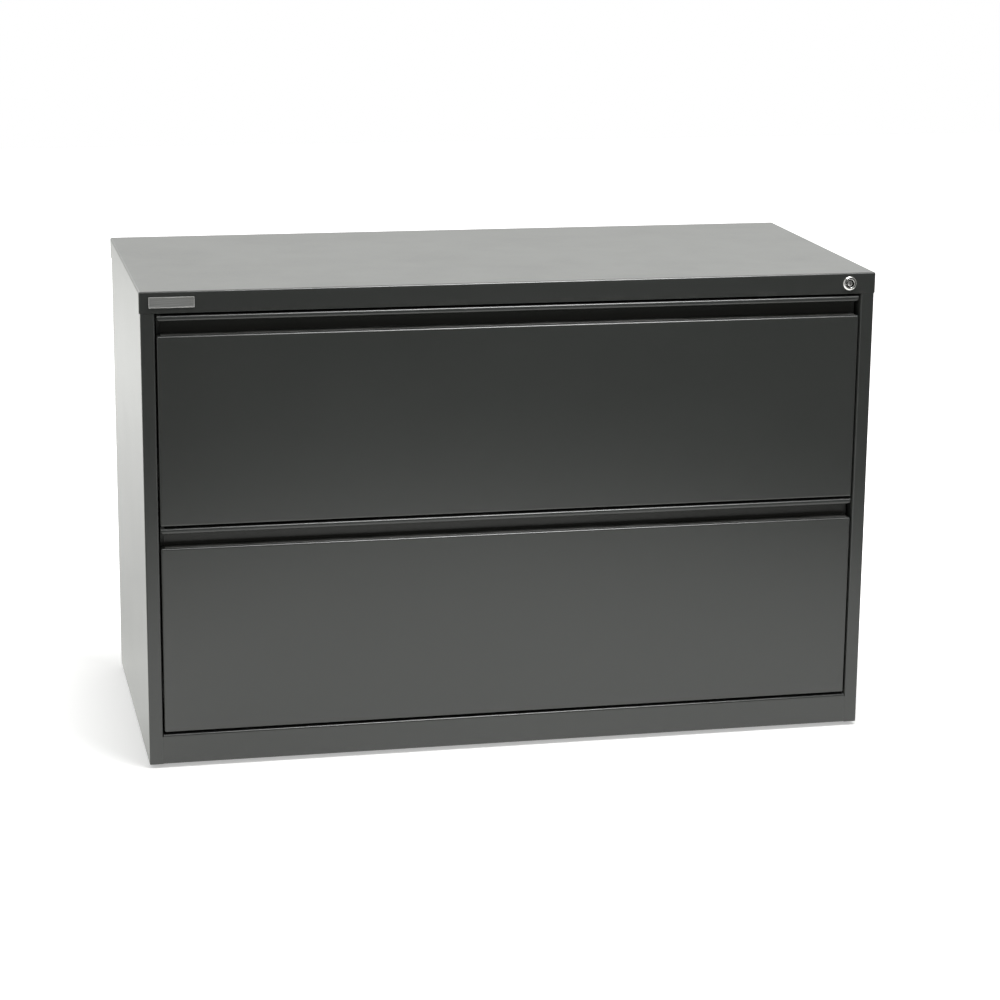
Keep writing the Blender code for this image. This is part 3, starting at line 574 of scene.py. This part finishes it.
def makeSideShells():
    for name, side in sides.items():
        node = name + "_side_panel"
        low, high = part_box(node)
        outer = max(abs(low.x), abs(high.x))
        edge = outer - caseShell["flange"]
        path = [(edge, front + caseShell["flangeReturn"]), (edge, front), (outer, front), (outer, high.y),
                (outer - caseShell["rearReturn"], high.y)]
        shell = runAlong(foldedSheet(path, side), 2, low.z, high.z)
        reach = outer + margin
        lip = block((-reach, front - margin, headerBottom - fit),
                    (reach, front + thick + fit, high.z + margin))
        # The flange's return goes with it above the header's edge
        inner = sorted((side * (edge - margin), side * (edge + caseShell["returnCut"])))
        tail = block((inner[0], front - margin / 2, headerBottom - fit),
                     (inner[1], front + caseShell["flangeReturn"] + margin, high.z + margin / 2))
        shell = carved(shell, lip, tail)
        addPiece(name + "_side_shell", shell, outerPaint, "cabinet", [node],
                 caseShell["softEdge"])


def makeBackSheet():
    low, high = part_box("back_panel")
    outline = roundedOutline(frontCorners(low, high), caseShell["backCorner"])
    sheet = runAlong(outline, 1, low.y, high.y)
    addPiece("back_sheet", sheet, outerPaint, "cabinet", ["back_panel"],
             caseShell["softEdge"])
    inset, spacing = caseShell["weldInset"], caseShell["weldSpacing"]
    places = []
    for side in sides.values():
        for step in range(caseShell["sideWelds"]):
            places.append((side * (high.x - inset), high.y, low.z + caseShell["firstWeld"] + spacing * step))
    for step in range(caseShell["footWelds"]):
        places.append(((step - (caseShell["footWelds"] - 1) / 2) * spacing, high.y, low.z + inset))
    marks = weldMarks(places, (0, 1, 0), caseShell["weldRadius"], caseShell["weldHeight"])
    addPiece("back_weld_marks", marks, outerPaint, "cabinet")


def makeBaseRail():
    low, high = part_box("base_front_rail")
    path = [(high.y, high.z), (front, high.z), (front, low.z), (front + caseShell["railFoot"], low.z)]
    rail = runAlong(foldedSheet(path, 1, caseShell["railBends"]), 0, low.x, high.x)
    addPiece("base_rail", rail, outerPaint, "cabinet", ["base_front_rail"],
             caseShell["softEdge"])
    # Filler in the grooves between the rail's ends and the side flanges
    sink, deep = caseShell["seamSink"], sheetMetal["bend"]
    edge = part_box("right_side_panel")[1].x - caseShell["flange"]
    welds = []
    for side in sides.values():
        inner, outer = side * (high.x - fit), side * (edge + deep / 2)
        outline = [(inner, front + sink * caseShell["seamSlope"]), (side * edge, front + sink),
                   (outer, front + sink), (outer, front + deep), (inner, front + deep)]
        welds.append(runAlong(outline, 2, low.z + fit, high.z - caseShell["railBends"][0]))
    addPiece("base_seam_welds", joined(*welds), outerPaint, "cabinet")


makeCap()
makeSideShells()
makeBackSheet()
makeBaseRail()
print("case shell done")


# Drawers

drawerShape = {
    "faceBend": 0.0025, "pullBend": 0.0032, "lip": 0.0078, "lipReturn": 0.0044, "shelfSetback": 0.002,
    "endNotch": 0.005, "lipInset": 0.0009, "lipDepth": 0.0032, "lipCorner": 0.0058, "lipSteps": 8,
    "softEdge": 0.0003,
}


def makeDrawerFace(level):
    node = level + "_drawer_face"
    low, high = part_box(node)
    face = foldedTray(low, high, (0, 1, 0), drawerShape["faceBend"])
    addPiece(level + "_face", face, outerPaint, level + "_drawer", [node],
             drawerShape["softEdge"])


def lipCornerCutter(side, end, bottom):
    # Square corner with a quarter circle left standing
    radius, steps = drawerShape["lipCorner"], drawerShape["lipSteps"]
    centre = Vector((end - radius, bottom + radius))
    points = [(end + margin, bottom - margin), (end + margin, bottom + radius)]
    for step in range(steps + 1):
        angle = -math.pi / 2 * step / steps
        points.append((centre.x + radius * math.cos(angle), centre.y + radius * math.sin(angle)))
    points.append((centre.x, bottom - margin))
    outline = [(side * x, z) for x, z in points]
    return runAlong(outline, 1, front - margin, front + drawerShape["lipReturn"] + margin)


def makePullChannel(level):
    node = level + "_pull_channel"
    low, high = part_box(node)
    lipBottom = high.z - drawerShape["lip"]
    path = [(front + drawerShape["lipReturn"], lipBottom), (front, lipBottom), (front, high.z),
            (high.y, high.z), (high.y, low.z), (front + drawerShape["shelfSetback"], low.z)]
    end = high.x - drawerShape["lipInset"]
    channel = runAlong(foldedSheet(path, 1, drawerShape["pullBend"]), 0, -end, end)
    cutters = []
    for side in sides.values():
        ends = sorted((side * (end - drawerShape["endNotch"]), side * (end + margin)))
        cutters.append(block((ends[0], front + drawerShape["lipDepth"], low.z - margin),
                             (ends[1], high.y + margin, high.z + margin)))
        cutters.append(block((ends[0], front - margin, low.z - margin),
                             (ends[1], high.y, lipBottom - margin)))
        cutters.append(lipCornerCutter(side, end, lipBottom))
    channel = carved(channel, *cutters)
    pull = addPiece(level + "_pull", channel, outerPaint, level + "_drawer", [node],
                    drawerShape["softEdge"])
    # Behind the lip the coat is painted darker, a painted shade, and heavy dust lightens the up-facing shelf,
    # partly real dust and partly painted light
    pull.data.materials.append(recessShadeAndDustPaint)
    for face in pull.data.polygons:
        if face.center.y > front + drawerShape["lipReturn"]:
            face.material_index = 1


for level in levels:
    makeDrawerFace(level)
    makePullChannel(level)
print("drawer fronts done")


# Lock and name plate

lockShape = {
    "bezel": 0.0105, "bore": 0.0060, "proud": 0.004, "lip": 0.0008, "lipSteps": 5, "domeDepth": 0.003,
    "domeSteps": 12, "barrel": 0.0085, "barrelLength": 0.026, "segments": 72, "softEdge": 0.00015,
    "notch": (0.0024, 0.0016), "notchDepth": 0.0016, "notchOverlap": 0.001,
    "plug": 0.0057, "plugEase": 0.0003, "plugFace": 0.00375, "plugGap": 0.0001, "plugCrown": 0.0006,
    "crownSteps": 7, "sunk": 0.0008, "step": 0.0028, "seat": 0.0004, "seatEase": 0.0002,
    "collarEdge": 0.0001, "keyway": (0.0017, 0.0056, 0.009),
}


def makeLock():
    shape = lockShape
    proud, bezel, bore, barrel = shape["proud"], shape["bezel"], shape["bore"], shape["barrel"]
    lip = shape["lip"]
    crown, dome = bore + lip, bezel - bore - lip
    profile = [(bore, shape["barrelLength"])]
    for step in range(shape["lipSteps"] + 1):
        angle = math.pi / 2 * step / shape["lipSteps"]
        profile.append((crown - lip * math.cos(angle), -proud + lip * (1 - math.sin(angle))))
    for step in range(1, shape["domeSteps"] + 1):
        angle = math.pi / 2 * step / shape["domeSteps"]
        profile.append((crown + dome * math.sin(angle), -proud + shape["domeDepth"] * (1 - math.cos(angle))))
    profile += [(bezel, -fit), (barrel, -fit), (barrel, shape["barrelLength"])]
    housing = placed(spun(profile, 1, True, shape["segments"]), lockMiddle)
    long, high = shape["notch"]
    notch = block((lockMiddle.x - bore - long, front - proud - margin, lockMiddle.z - high / 2),
                  (lockMiddle.x - bore + shape["notchOverlap"], front - proud + shape["notchDepth"],
                   lockMiddle.z + high / 2))
    housing = carved(housing, notch)
    addPiece("lock_bezel", housing, chrome, "cabinet", ["lock_housing"], shape["softEdge"])


def makeLockPlug():
    shape = lockShape
    face = front - shape["proud"] + shape["sunk"]
    shoulder, length = face + shape["step"], front + shape["barrelLength"]
    wide, tall, deep = shape["keyway"]
    middle = (lockMiddle.x, 0, lockMiddle.z)

    def withKeyway(profile):
        keyway = block((lockMiddle.x - wide / 2, face - margin, lockMiddle.z - tall / 2),
                       (lockMiddle.x + wide / 2, face + deep, lockMiddle.z + tall / 2))
        return carved(placed(spun(profile, 1), middle), keyway)

    plug, ease, plugFace, seat = shape["plug"], shape["plugEase"], shape["plugFace"], shoulder + shape["seat"]
    collar = [(0, seat), (plugFace - shape["seatEase"], seat), (plugFace, shoulder), (plug - ease, shoulder),
              (plug, shoulder + ease), (plug, length), (0, length)]
    addPiece("lock_collar", withKeyway(collar), collarBlack, "lock_core", ["lock_plug"],
             shape["collarEdge"])
    disc, rim = [], plugFace - shape["plugGap"]
    for step in range(shape["crownSteps"] + 1):
        share = step / shape["crownSteps"]
        disc.append((rim * share, face + shape["plugCrown"] * share ** 2))
    disc += [(rim, seat), (0, seat)]
    addPiece("lock_plug_face", withKeyway(disc), plugSteel, "lock_core")


plateShape = {
    "corner": 0.0008, "innerCorner": 0.0004, "rim": 0.0011, "rimHeight": 0.0004, "fieldDepth": 0.0004,
    "fieldShare": 0.9999, "rimEdge": 0.0002, "fieldEdge": 0.0001,
}


def makeNamePlate():
    low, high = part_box("name_plate")
    outer = roundedOutline(frontCorners(low, high), plateShape["corner"])
    inner = roundedOutline(frontCorners(low, high, plateShape["rim"]), plateShape["innerCorner"])
    top = low.y + plateShape["rimHeight"]
    foot, share = top + plateShape["fieldDepth"], plateShape["fieldShare"]
    rim = carved(runAlong(outer, 1, low.y, high.y), runAlong(inner, 1, low.y - margin, foot))
    addPiece("plate_rim", rim, plateRim, "cabinet", ["name_plate"], plateShape["rimEdge"])
    inside = [(x * share + (1 - share) * (low.x + high.x) / 2, z) for x, z in inner]
    addPiece("plate_field", runAlong(inside, 1, top, foot), plateField, "cabinet", (),
             plateShape["fieldEdge"])


makeLock()
makeLockPlug()
makeNamePlate()
print("lock and name plate done")


# Fasteners

fasteners = {
    "screw": (0.0042, 0.0019), "slideScrew": (0.0036, 0.0008), "segments": 28, "sink": 0.0001,
    "dome": ((0, 1), (0.4, 0.97), (0.72, 0.8), (0.93, 0.45), (1, 0)),
    "slotShare": 0.24, "slotLong": 0.62, "slotFoot": 0.45,
}


def screwHeads(places, outward, radius, height):
    # Low domes with a cross recess
    profile = [(radius * across, height * up) for across, up in fasteners["dome"]] + [(0, -fasteners["sink"])]
    head = spun(profile, 2, segments=fasteners["segments"])
    long, wide = radius * fasteners["slotLong"], radius * fasteners["slotShare"] / 2
    foot, top = height * fasteners["slotFoot"], height + margin
    cross = [block((-x, -y, foot), (x, y, top)) for x, y in ((long, wide), (wide, long))]
    head = carved(head, *cross)
    turn = Vector((0, 0, 1)).rotation_difference(Vector(outward)).to_matrix()
    heads = [placed(head.copy(), place, turn) for place in places]
    head.free()
    return joined(*heads)


# Drawer bodies

drawerBody = {
    "flange": 0.010, "backHem": 0.008, "beads": 4, "beadWidth": 0.016, "beadHeight": 0.0022, "beadSteps": 12,
    "railCorner": 0.005, "railTopCorner": 0.001, "railSteps": 5, "railEdge": 0.0006, "innerCorner": 0.003,
    "softEdge": 0.0003, "screwsAcross": (0.475, 0.16), "screwsUp": (0.045, 0.205),
}


def makeInnerFront(level):
    node = level + "_drawer_inner_front"
    low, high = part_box(node)
    sheet = runAlong(roundedOutline(frontCorners(low, high), drawerBody["innerCorner"]), 1, low.y, high.y)
    addPiece(level + "_inner_front", sheet, innerPaint, level + "_drawer", [node],
             drawerBody["softEdge"])
    places = []
    for side in sides.values():
        for x in drawerBody["screwsAcross"]:
            places += [(side * x, high.y, low.z + up) for up in drawerBody["screwsUp"]]
    screws = screwHeads(places, (0, 1, 0), *fasteners["screw"])
    addPiece(level + "_front_screws", screws, zinc, level + "_drawer")


def makeDrawerSides(level):
    for name, side in sides.items():
        node = "%s_drawer_%s_side" % (level, name)
        low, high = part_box(node)
        outer = max(abs(low.x), abs(high.x))
        path = [(outer, low.z), (outer, high.z), (outer - drawerBody["flange"], high.z)]
        sheet = runAlong(foldedSheet(path, side), 1, low.y, high.y)
        addPiece("%s_%s_drawer_side" % (level, name), sheet, innerPaint, level + "_drawer",
                 [node], drawerBody["softEdge"])


def makeDrawerBottom(level):
    # Pressed beads stiffen the sheet, and run across the drawer
    node = level + "_drawer_bottom"
    low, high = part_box(node)
    beads, half, steps = drawerBody["beads"], drawerBody["beadWidth"] / 2, drawerBody["beadSteps"]
    middles = [low.y + (high.y - low.y) * (index + 0.5) / beads for index in range(beads)]
    heights = [(low.y, 0.0)]
    for middle in middles:
        for step in range(steps + 1):
            along = -half + 2 * half * step / steps
            rise = drawerBody["beadHeight"] * (0.5 + 0.5 * math.cos(math.pi * along / half))
            heights.append((middle + along, rise))
    heights.append((high.y, 0.0))
    outline = [(y, low.z + rise) for y, rise in heights] + [(y, high.z + rise) for y, rise in heights[::-1]]
    addPiece(level + "_bottom_sheet", runAlong(outline, 0, low.x, high.x), innerPaint, level + "_drawer",
             [node])


def makeDrawerBack(level):
    node = level + "_drawer_back"
    low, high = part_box(node)
    path = [(high.y, low.z), (high.y, high.z), (high.y - drawerBody["backHem"], high.z)]
    sheet = runAlong(foldedSheet(path), 0, low.x, high.x)
    addPiece(level + "_back_sheet", sheet, innerPaint, level + "_drawer", [node],
             drawerBody["softEdge"])


def makeHangRails(level):
    for name in ("front", "rear"):
        node = "%s_%s_hang_rail" % (level, name)
        low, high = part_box(node)
        corners = [Vector(point) for point in frontCorners(low, high)]
        outline = []
        for index, point in enumerate(corners):
            radius = drawerBody["railCorner"] if index < 2 else drawerBody["railTopCorner"]
            after = corners[(index + 1) % len(corners)]
            outline += roundCorner(corners[index - 1], point, after, radius, drawerBody["railSteps"])
        bar = runAlong([tuple(point) for point in outline], 1, low.y, high.y)
        addPiece("%s_%s_rail" % (level, name), bar, zinc, level + "_drawer", [node],
                 drawerBody["railEdge"])


for level in levels:
    makeInnerFront(level)
    makeDrawerSides(level)
    makeDrawerBottom(level)
    makeDrawerBack(level)
    makeHangRails(level)
print("drawer bodies done")


# Telescopic slides

slideShape = {"bend": 0.0017, "hole": (0.012, 0.0054), "holes": 4, "holeRound": 0.499, "holeReach": 0.004,
              "screwOffset": 0.034, "softEdge": 0.00025}


def makeSlideMember(node, piece, body, side, webOutside, screwSide):
    low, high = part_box(node)
    reach = sorted((abs(low.x), abs(high.x)))
    web, edge = (reach[1], reach[0]) if webOutside else (reach[0], reach[1])
    path = [(edge, low.z), (web, low.z), (web, high.z), (edge, high.z)]
    member = runAlong(foldedSheet(path, side, slideShape["bend"]), 1, low.y, high.y)
    long, wide = slideShape["hole"]
    middle, count = (low.z + high.z) / 2, slideShape["holes"]
    cutters, places = [], []
    for index in range(count):
        y = low.y + (high.y - low.y) * (index + 0.5) / count
        corners = [(y - long / 2, middle - wide / 2), (y + long / 2, middle - wide / 2),
                   (y + long / 2, middle + wide / 2), (y - long / 2, middle + wide / 2)]
        ends = sorted((side * (web - slideShape["holeReach"]), side * (web + slideShape["holeReach"])))
        cutters.append(runAlong(roundedOutline(corners, wide * slideShape["holeRound"]), 0, *ends))
        inner = web - thick if webOutside else web + thick
        places.append((side * inner, y + slideShape["screwOffset"], middle))
    member = carved(member, *cutters)
    addPiece(piece, member, zinc, body, [node], slideShape["softEdge"])
    if screwSide:
        outward = (side * screwSide, 0, 0)
        screws = screwHeads(places, outward, *fasteners["slideScrew"])
        addPiece(piece + "_screws", screws, zinc, body)


for level in levels:
    for name, side in sides.items():
        label = "%s_%s_slide_" % (level, name)
        makeSlideMember(label + "cabinet_member", label + "outer", "cabinet", side, True, -1)
        makeSlideMember(label + "middle_member", label + "middle", level + "_slide_middle", side, True, 0)
        makeSlideMember(label + "drawer_member", label + "inner", level + "_drawer", side, False, 1)
print("slides done")


# Counterweight and glides

weightShape = {"chamfer": 0.003, "holeRadius": 0.007, "holeSpacing": 0.6}


def makeCounterweight():
    low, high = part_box("counterweight")
    radius, foot, top = weightShape["holeRadius"], low.z - margin, high.z + margin
    holes, middle = [], (low.y + high.y) / 2
    for side in sides.values():
        hole = spun([(0, foot), (radius, foot), (radius, top), (0, top)], 2)
        holes.append(placed(hole, (side * weightShape["holeSpacing"] / 2, middle, 0)))
    bar = carved(block(low, high), *holes)
    addPiece("counterweight_bar", bar, iron, "cabinet", ["counterweight"], weightShape["chamfer"])


glideShape = {
    "foot": 0.016, "footHeight": 0.005, "collar": 0.0068, "collarCorner": 0.0006, "collarSteps": 2,
    "footRim": ((0.002, 0), (0.0006, 0.0006), (0, 0.0018), (0.0004, 0.0028), (0.002, 0.0036)),
    "footTop": ((0.003, 0.0006), (-0.0008, 0)),
    "thread": 0.005, "root": 0.0043, "pitch": 0.0015, "flanks": (0.1, 0.45, 0.6), "tip": (0.0009, 0.0012),
    "segments": 32, "overlap": 0.0003,
}


def makeGlide(place):
    node = place + "_glide"
    low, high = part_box(node)
    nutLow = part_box(place + "_glide_nut")[0]
    middle = ((low.x + high.x) / 2, (low.y + high.y) / 2, low.z)
    foot, tall, collar = glideShape["foot"], glideShape["footHeight"], glideShape["collar"]
    disc = [(0, 0)] + [(foot - inset, up) for inset, up in glideShape["footRim"]]
    disc += [(collar + outset, tall - drop) for outset, drop in glideShape["footTop"]] + [(0, tall)]
    length, neckTop, overlap = high.z - low.z, nutLow.z - low.z - fit, glideShape["overlap"]
    angles = [math.pi / 3 * step for step in range(6)]
    corners = [(collar * math.cos(angle), collar * math.sin(angle)) for angle in angles]
    hexagon = roundedOutline(corners, glideShape["collarCorner"], glideShape["collarSteps"])
    neck = runAlong(hexagon, 2, tall - overlap, neckTop)
    crest, root, pitch = glideShape["thread"], glideShape["root"], glideShape["pitch"]
    start, rise, fall = (pitch * share for share in glideShape["flanks"])
    taper, tip = glideShape["tip"]
    thread, up, end = [(0, neckTop - overlap), (root, neckTop - overlap)], neckTop, length - tip
    while up + pitch < end:
        thread += [(root, up + start), (crest, up + rise), (crest, up + fall)]
        up += pitch
    thread += [(root, up + start), (root, end), (root - taper, length), (0, length)]
    whole = joined(spun(disc, 2), neck, spun(thread, 2, segments=glideShape["segments"]))
    addPiece(place + "_glide_foot", placed(whole, middle), zinc, place + "_glide", [node])


makeCounterweight()
for place in ("front_left", "front_right", "rear_left", "rear_right"):
    makeGlide(place)
print("counterweight and glides done")


# Finishes of the parts that stay as drawn

paintedParts = ("base_pan", "header_channel", "front_left_upright", "front_right_upright",
                "rear_left_upright", "rear_right_upright")
nylonParts = ("upper_lock_bar_guide", "lower_lock_bar_guide")


def finishKeptParts():
    for node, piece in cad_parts.items():
        if piece.hide_render:
            continue
        finish = zinc
        if node in paintedParts:
            finish = innerPaint
        elif node in nylonParts:
            finish = nylon
        piece.data.materials.clear()
        piece.data.materials.append(finish)


finishKeptParts()
print("kept parts finished")


# Studio

white = (1.0, 1.0, 1.0)
studio = {
    "ambient": 0.36, "frontGlow": 0.08, "rearGlow": 0.86, "leftGlow": 0.72, "tint": (0.99, 1.0, 0.962),
    "rearTurn": (-0.35, 0.25), "leftTurn": (-0.45, -0.8),
}
floorLook = {
    "color": (0.88, 0.88, 0.875), "fleck": (0.9, 0.9, 0.895), "roughness": (0.75, 0.85), "specular": 0.1,
    "flecks": (3.0, 4.0), "scuffs": (40.0, 3.0), "scuffRange": (0.3, 0.7),
    "footprint": (0.53, 0.25), "whiteAt": 0.3, "nearWhite": 0.4,
    "frontLevel": 0.49, "nearLevel": 0.85, "nearRange": (-0.3, 0.0), "dip": 0.42, "dipRange": (0.25, 0.75),
    "riseRange": (0.9, 2.6), "rightFade": 0.21, "fadeRange": (0.2, 1.2),
    "poolMiddle": 0.15, "poolFront": -1.74, "poolCurve": 0.8, "poolEnd": 1.5, "poolSteps": 40,
    "half": 5.0, "far": 7.0,
}
softboxes = {
    "keySoftbox": {"place": (0.38, -0.75, 2.35), "aim": (0.1, -0.2, 0.3), "size": (1.2, 1.0), "power": 42.0},
    "edgeSoftbox": {"place": (0.5, -1.15, 2.2), "aim": (0.0, -0.25, 0.4), "size": (0.9, 0.5), "power": 20.0},
    "sideSoftbox": {"place": (-1.9, 3.1, 2.3), "aim": (-1.0, 2.0, 0.0), "size": (1.8, 1.4), "power": 50.0},
    "backSoftbox": {"place": (0.3, 3.2, 1.85), "aim": (0.2, 0.0, 0.9), "size": (5.0, 1.3), "power": 11.5},
}


def makeWorld():
    world = bpy.data.worlds.new("studio")
    scene.world = world
    world.use_nodes = True
    tree = world.node_tree
    tree.nodes.clear()
    path = addNode(tree, "LightPath").outputs
    heading = addNode(tree, "SeparateXYZ", {0: addNode(tree, "TexCoord").outputs["Generated"]}).outputs
    rear = spread(tree, heading["Y"], studio["rearTurn"], (studio["frontGlow"], studio["rearGlow"]))
    left = spread(tree, heading["X"], studio["leftTurn"], (0.0, studio["leftGlow"]))
    rear = calc(tree, "MAXIMUM", rear, left)
    mirrored = calc(tree, "MAXIMUM", path["Is Glossy Ray"], path["Is Transmission Ray"])
    level = calc(tree, "ADD", calc(tree, "MULTIPLY", mirrored, rear),
                 calc(tree, "MULTIPLY", calc(tree, "SUBTRACT", 1.0, mirrored), studio["ambient"]))
    level = calc(tree, "MAXIMUM", level, path["Is Camera Ray"])
    light = mixColor(tree, path["Is Camera Ray"], studio["tint"], white)
    background = addNode(tree, "Background", {"Color": light, "Strength": level})
    output = addNode(tree, "OutputWorld")
    tree.links.new(background.outputs[0], output.inputs[0])


def makeFloor():
    finish, tree, shader = newFinish("paleFloor")
    place = addNode(tree, "SeparateXYZ", {0: addNode(tree, "TexCoord").outputs["Object"]}).outputs
    path = addNode(tree, "LightPath").outputs
    mottle = mixColor(tree, noise(tree, *floorLook["flecks"]), floorLook["color"], floorLook["fleck"])
    dull = spread(tree, noise(tree, *floorLook["scuffs"]), floorLook["scuffRange"], floorLook["roughness"])
    join(tree, shader, color=mottle, roughness=dull)
    shader.inputs["Specular IOR Level"].default_value = floorLook["specular"]
    # Seen directly it goes to white away from the cabinet; in mirrored rays the floor glows as painted light,
    # at a level set by place, brighter behind it and dimmer to the right
    across, along = (calc(tree, "SUBTRACT", calc(tree, "ABSOLUTE", place[axis]), reach)
                     for axis, reach in zip("XY", floorLook["footprint"]))
    away = calc(tree, "MAXIMUM", across, along)
    seen = spread(tree, away, (0.0, floorLook["whiteAt"]), (floorLook["nearWhite"], 1.0))
    seen = calc(tree, "MULTIPLY", seen, path["Is Camera Ray"])
    level = spread(tree, place["Y"], floorLook["nearRange"],
                   (floorLook["frontLevel"], floorLook["nearLevel"]))
    for axis, span, change in (("Y", "dipRange", -floorLook["dip"]), ("Y", "riseRange", floorLook["dip"]),
                               ("X", "fadeRange", -floorLook["rightFade"])):
        level = calc(tree, "ADD", level, spread(tree, place[axis], floorLook[span], (0.0, change)))
    # Painted light: this glow is seen only by mirrored rays, as a painted reflection in the cabinet
    mirrored = calc(tree, "MULTIPLY", level, path["Is Glossy Ray"])
    light = mixColor(tree, path["Is Camera Ray"], studio["tint"], white)
    glow = addNode(tree, "Emission", {"Color": light, "Strength": calc(tree, "MAXIMUM", seen, mirrored)})
    both = addNode(tree, "AddShader", {0: shader.outputs[0], 1: glow.outputs[0]})
    tree.links.new(both.outputs[0], tree.nodes["Material Output"].inputs["Surface"])
    # The front edge is an arc, so the front mirrors a rounded pool of light
    half, far, steps = floorLook["half"], floorLook["far"], floorLook["poolSteps"]
    edge = []
    for step in range(-steps, steps + 1):
        x = half * step / steps
        y = floorLook["poolFront"] + floorLook["poolCurve"] * (x - floorLook["poolMiddle"]) ** 2
        edge.append((x, min(y, floorLook["poolEnd"]), 0))
    builder = bmesh.new()
    builder.faces.new([builder.verts.new(point) for point in edge + [(half, far, 0), (-half, far, 0)]])
    mesh = bpy.data.meshes.new("floor")
    builder.to_mesh(mesh)
    builder.free()
    mesh.materials.append(finish)
    floor = bpy.data.objects.new("floor", mesh)
    scene.collection.objects.link(floor)


def makeSoftboxes():
    for name, box in softboxes.items():
        lamp = bpy.data.lights.new(name, "AREA")
        lamp.shape, lamp.size, lamp.size_y, lamp.energy = "RECTANGLE", *box["size"], box["power"]
        holder = bpy.data.objects.new(name, lamp)
        holder.location = box["place"]
        toward = Vector(box["aim"]) - Vector(box["place"])
        holder.rotation_euler = toward.to_track_quat("-Z", "Y").to_euler()
        holder.visible_camera = False
        holder.visible_diffuse = name != "edgeSoftbox"  # that one is only mirrored, by bends and bright metal
        scene.collection.objects.link(holder)


makeWorld()
makeFloor()
makeSoftboxes()
print("studio done")


# Camera, at the photograph's angle

cameraSetup = {"place": (-0.8491, -4.014, 1.3533), "azimuth": -12.374, "elevation": 14.224, "roll": 0.575,
               "lens": 99.58, "sensor": 36.0}


def makeCamera():
    azimuth, elevation, roll = (math.radians(cameraSetup[key]) for key in ("azimuth", "elevation", "roll"))
    ahead = Vector((-math.sin(azimuth) * math.cos(elevation), math.cos(azimuth) * math.cos(elevation),
                    -math.sin(elevation)))
    right = Vector((math.cos(azimuth), math.sin(azimuth), 0))
    up = right.cross(ahead)
    rolledRight = math.cos(roll) * right + math.sin(roll) * up
    rolledUp = -math.sin(roll) * right + math.cos(roll) * up
    lens = bpy.data.cameras.new("photoCamera")
    lens.lens = cameraSetup["lens"]
    lens.sensor_width = lens.sensor_height = cameraSetup["sensor"]
    holder = bpy.data.objects.new("photoCamera", lens)
    turned = Matrix((rolledRight, rolledUp, -ahead)).transposed().to_4x4()
    holder.matrix_world = Matrix.Translation(cameraSetup["place"]) @ turned
    scene.collection.objects.link(holder)
    scene.camera = holder


makeCamera()
